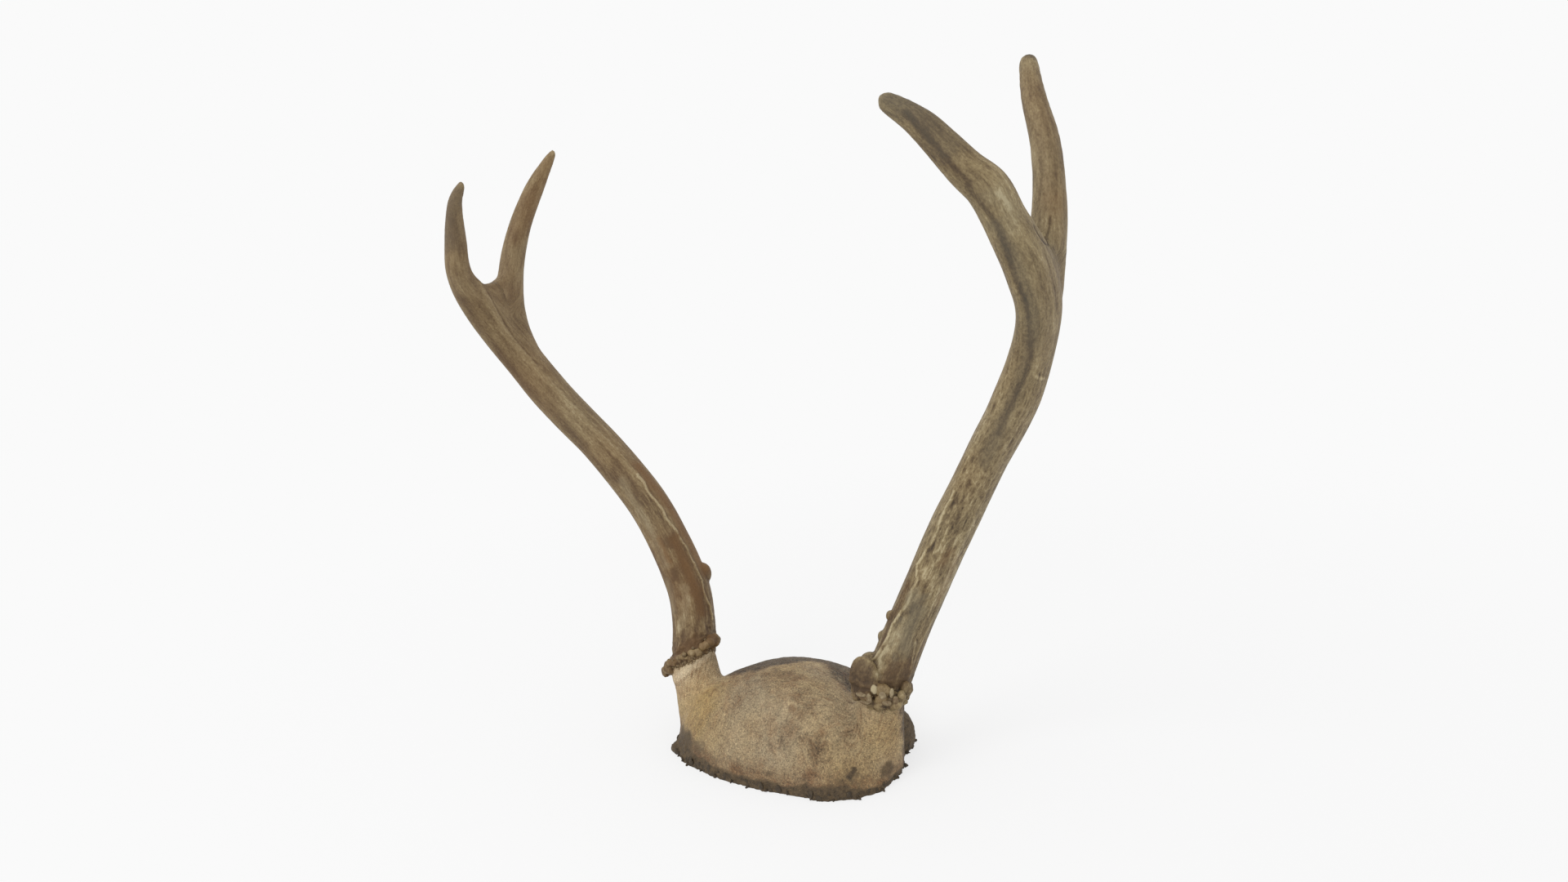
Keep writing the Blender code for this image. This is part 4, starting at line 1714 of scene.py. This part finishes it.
LEFT_MARKS = (
    Mark(((-60, 9, 89), (-58, 9, 86), (-50, 10, 73), (-46, 11, 65), (-43, 11, 59), (-40, 11, 53),
          (-38, 10, 47), (-35, 8, 37)),
         0.46, tone=0.42, lift=0.4, wander=0.7, ragged=0.15),
    # A pale raised ridge from the fork down the beam, drawn wide enough to take in a painted highlight
    # along it.
    Mark(((-94, -16, 162), (-94, -10, 146), (-91, -5, 135), (-83, 0, 121), (-77, 3, 112),
          (-66, 7, 97), (-58, 9, 86)),
         1.5, tone=0.14, lift=0.3, ragged=0.5, calm=0.2),
    Mark(((-93, -14, 162), (-93, -8, 146), (-88, -2, 132)), 0.45, tone=-0.16, lift=-0.1, ragged=0.2),
    Mark(((-47, 9, 66), (-42, 8, 57), (-39, 7, 49), (-36, 5, 41)), 2.2, tone=-0.36, warm=0.3, lift=-0.1),
    Mark(((-62, 12, 90), (-56, 13, 84), (-46, 15, 66), (-40, 15, 54)),
         2.8, tone=-0.14, warm=0.4, calm=0.5),
    Mark(((-97, -22, 157), (-97, -14, 140), (-92, -7, 125), (-85, -3, 116), (-73, 3, 94), (-66, 4, 88)),
         2.3, tone=-0.2, calm=0.3),
    Mark(((-66, 5, 94), (-61, 5, 86), (-57, 6, 80)), 2.0, tone=-0.18),
    Mark(((-63, 4, 88), (-60, 3, 82), (-53, 3, 70), (-48, 2, 58)), 1.7, tone=0.26, grey=0.35),
    Mark(((-45, 4, 56), (-45, 4, 53)), 1.3, tone=-0.5),
    Mark(((-46, 6, 62), (-45, 6, 59)), 1.5, tone=0.22),
    Mark(((-41, 4, 50), (-40, 3, 47), (-39, 0, 43), (-40, -3, 38)),
         1.6, tone=0.4, grey=0.25, calm=0.2, ragged=0.7),
    Mark(((-48, 3, 52), (-44, 0, 43)), 1.8, tone=0.12, grey=0.4),
    Mark(((-51, 5, 67), (-49, 5, 63), (-47, 5, 59)), 1.0, warm=0.25, tone=-0.05),
    Mark(((-40, -7, 30), (-38, -6, 31), (-33, -3, 34), (-31, 1, 36)),
         2.8, tone=-0.22, warm=0.2, calm=0.6, lift=0.2, ragged=0.8),
    Mark(((-45, -7, 25), (-41, -8, 27.5), (-37, -8, 30), (-33, -6, 32), (-30, -2, 33)),
         0.8, tone=0.2, lift=0.4, ragged=0.9),
    Mark(((-96, -4, 155),), 6.0, tone=-0.03, warm=0.1, calm=0.3),
    Mark(((-96, 2, 162),), 3.0, tone=0.08),
    Mark(((-96, 6, 176),), 2.5, tone=-0.14),
    Mark(((-96, 10, 173),), 2.0, tone=0.08),
    Mark(((-91, -28, 178), (-84, -30, 187), (-78, -31, 192)), 5.0, tone=-0.3, grey=0.3, calm=0.3),
    Mark(((-76, -32, 196),), 1.6, tone=0.14),
    Mark(((-97, 6, 176), (-93, 14, 188), (-90, 21, 199)), 4.0, tone=-0.08, warm=0.2),
    Mark(((-50, 6, 68), (-44, 4, 56), (-40, 2, 46)), 6.0, tone=-0.06, warm=0.12),
)
SKULL_MARKS = (
    Mark(((-44, -7, 20.5), (-37, -9, 24), (-32, -6, 28), (-29, -1, 30.5)),
         2.2, tone=0.42, grey=0.35, lift=0.4),
    Mark(((-42, -8, 18.5), (-37, -9, 21.5), (-32, -7, 25)), 0.9, tone=-0.1, lift=-0.1, ragged=0.8),
    Mark(((-38, -9, 18), (-31, -6, 24)), 7.0, tone=0.42, grey=0.25),
    Mark(((-43, -6, 19), (-44, -6, 12)), 2.4, tone=0.18, grey=0.6),
    Mark(((-14, -6, 25), (0, -8, 26), (12, -8, 25)), 5.0, tone=-0.1, ragged=0.9),
    Mark(((-26, -13, 19), (-26, -18, 13)), 8.0, warm=0.5),
    Mark(((-17, -22, 11),), 8.0, warm=0.3),
    Mark(((-36, -14, 12),), 6.0, warm=0.2, tone=0.02),
    Mark(((40, -8, 15),), 7.0, warm=0.25),
    Mark(((35, -18, 8),), 7.0, warm=0.25),
    Mark(((-5, -13, 24),), 8.0, grey=0.4),
    Mark(((10, -20, 16),), 9.0, grey=0.25),
    Mark(((5, -24, 9),), 7.0, grey=0.2),
    Mark(((12, 4, 26),), 6.0, grey=0.3, tone=-0.04),
    Mark(((-9, -15, 23),), 3.0, tone=-0.1),
    Mark(((16, -14, 22),), 2.5, tone=-0.1, ragged=1.2),
    Mark(((14, -18, 19), (11, -21, 14)), 2.6, tone=-0.08, ragged=1.2),
    Mark(((7, -3, 27), (2, -2, 27), (-4, -4, 27)), 2.2, tone=-0.12, ragged=0.9),
    Mark(((20, -18, 16), (24, -20, 10)), 2.4, tone=-0.1, ragged=1.2),
    Mark(((24, -19, 13),), 3.0, tone=-0.1, ragged=0.9),
    Mark(((31, -11, 16),), 3.0, tone=-0.08, ragged=0.9),
    Mark(((-19, -23, 7), (-23, -22, 7)), 2.8, tissue=0.5, ragged=0.9),
    Mark(((-35, -18, 6), (-28, -21, 7)), 3.8, tissue=0.75, ragged=0.9),
    Mark(((8, -25, 5),), 1.2, tissue=0.6),
    Mark(((34, -17, 5), (31, -20, 3)), 2.8, tissue=0.55, ragged=0.9),
    Mark(((34, -16, 7), (33, -18, 5)), 1.0, tissue=0.9, ragged=0.9),
    Mark(((41, -8, 5), (40, -10, 4)), 2.4, tissue=0.65, ragged=0.9),
    Mark(((27, -22, 1), (34, -18, 1), (39, -13, 1)), 6.0, lift=1.5),
    Mark(((-38, -19, 1),), 2.4, lift=1.6),
    Mark(((-30, -22, 1), (-22, -24, 1)), 4.0, lift=-0.3),
)


def main() -> None:
    """Build the antlers, the plate, the crumbs on them and the studio."""
    logging.basicConfig(level=logging.INFO, format="%(message)s")
    antler = AntlerFinish().material()
    bone = BoneFinish().material()
    # Antler grown in small lumps, which makes the burrs look knobbly and mottled.
    pearl = CrumbFinish("burr_pearl", "#4d3b27", "#8f7a56", 1.6).material()
    # The same in finer grains, a little paler, which draw the lower edge of each burr.
    bead = CrumbFinish("burr_bead", "#5f4a32", "#9a8563", 0.9).material()
    # Large lumps of antler, worn paler, which stand out from the dark burr behind them.
    nodule = CrumbFinish("burr_nodule", "#624c31", "#aa9c7b", 1.2).material()
    # Dried tissue, shrunk dark and matt, which breaks up the line of the cut.
    scrap = CrumbFinish("dried_tissue", "#2a2117", "#4f412d", 1.2).material()
    antlers = (
        Antler(
            side=Side.RIGHT, seat=(36.5, 0, 25), normal=(0.33, -0.04, 0.94), beam=RIGHT_BEAM,
            rear_tine=RIGHT_REAR_TINE, web=RIGHT_WEB, burr_radius=7.7, stoutness=1.0,
            tip_share=0.9, pearl_radius=(1.0, 2.1), netted=1.0, browned=0.04, dimmed=0.0,
            rounding=7, knobs=RIGHT_KNOBS, nodules=RIGHT_NODULES, marks=RIGHT_MARKS, seed=11,
        ),
        Antler(
            side=Side.LEFT, seat=(38, 0, 26.5), normal=(0.44, -0.04, 0.9), beam=LEFT_BEAM,
            rear_tine=LEFT_REAR_TINE, web=LEFT_WEB, burr_radius=8.6, stoutness=1.04,
            tip_share=0.62, pearl_radius=(0.5, 0.9), netted=0.4, browned=0.28, dimmed=0.1,
            rounding=18, knobs=LEFT_KNOBS, nodules=(), marks=LEFT_MARKS, seed=31,
            burr_height=3.6, pearl_spacing=2.6,
        ),
    )
    plate = SkullPlate(SKULL_MARKS, antlers)
    shell = plate.build(bone)
    plate.build_scraps(shell, scrap)
    for one in antlers:
        one.build(antler)
        one.build_crumbs(pearl, bead)
        one.build_nodules(nodule)
    Studio().build()


if __name__ == "__main__":
    main()
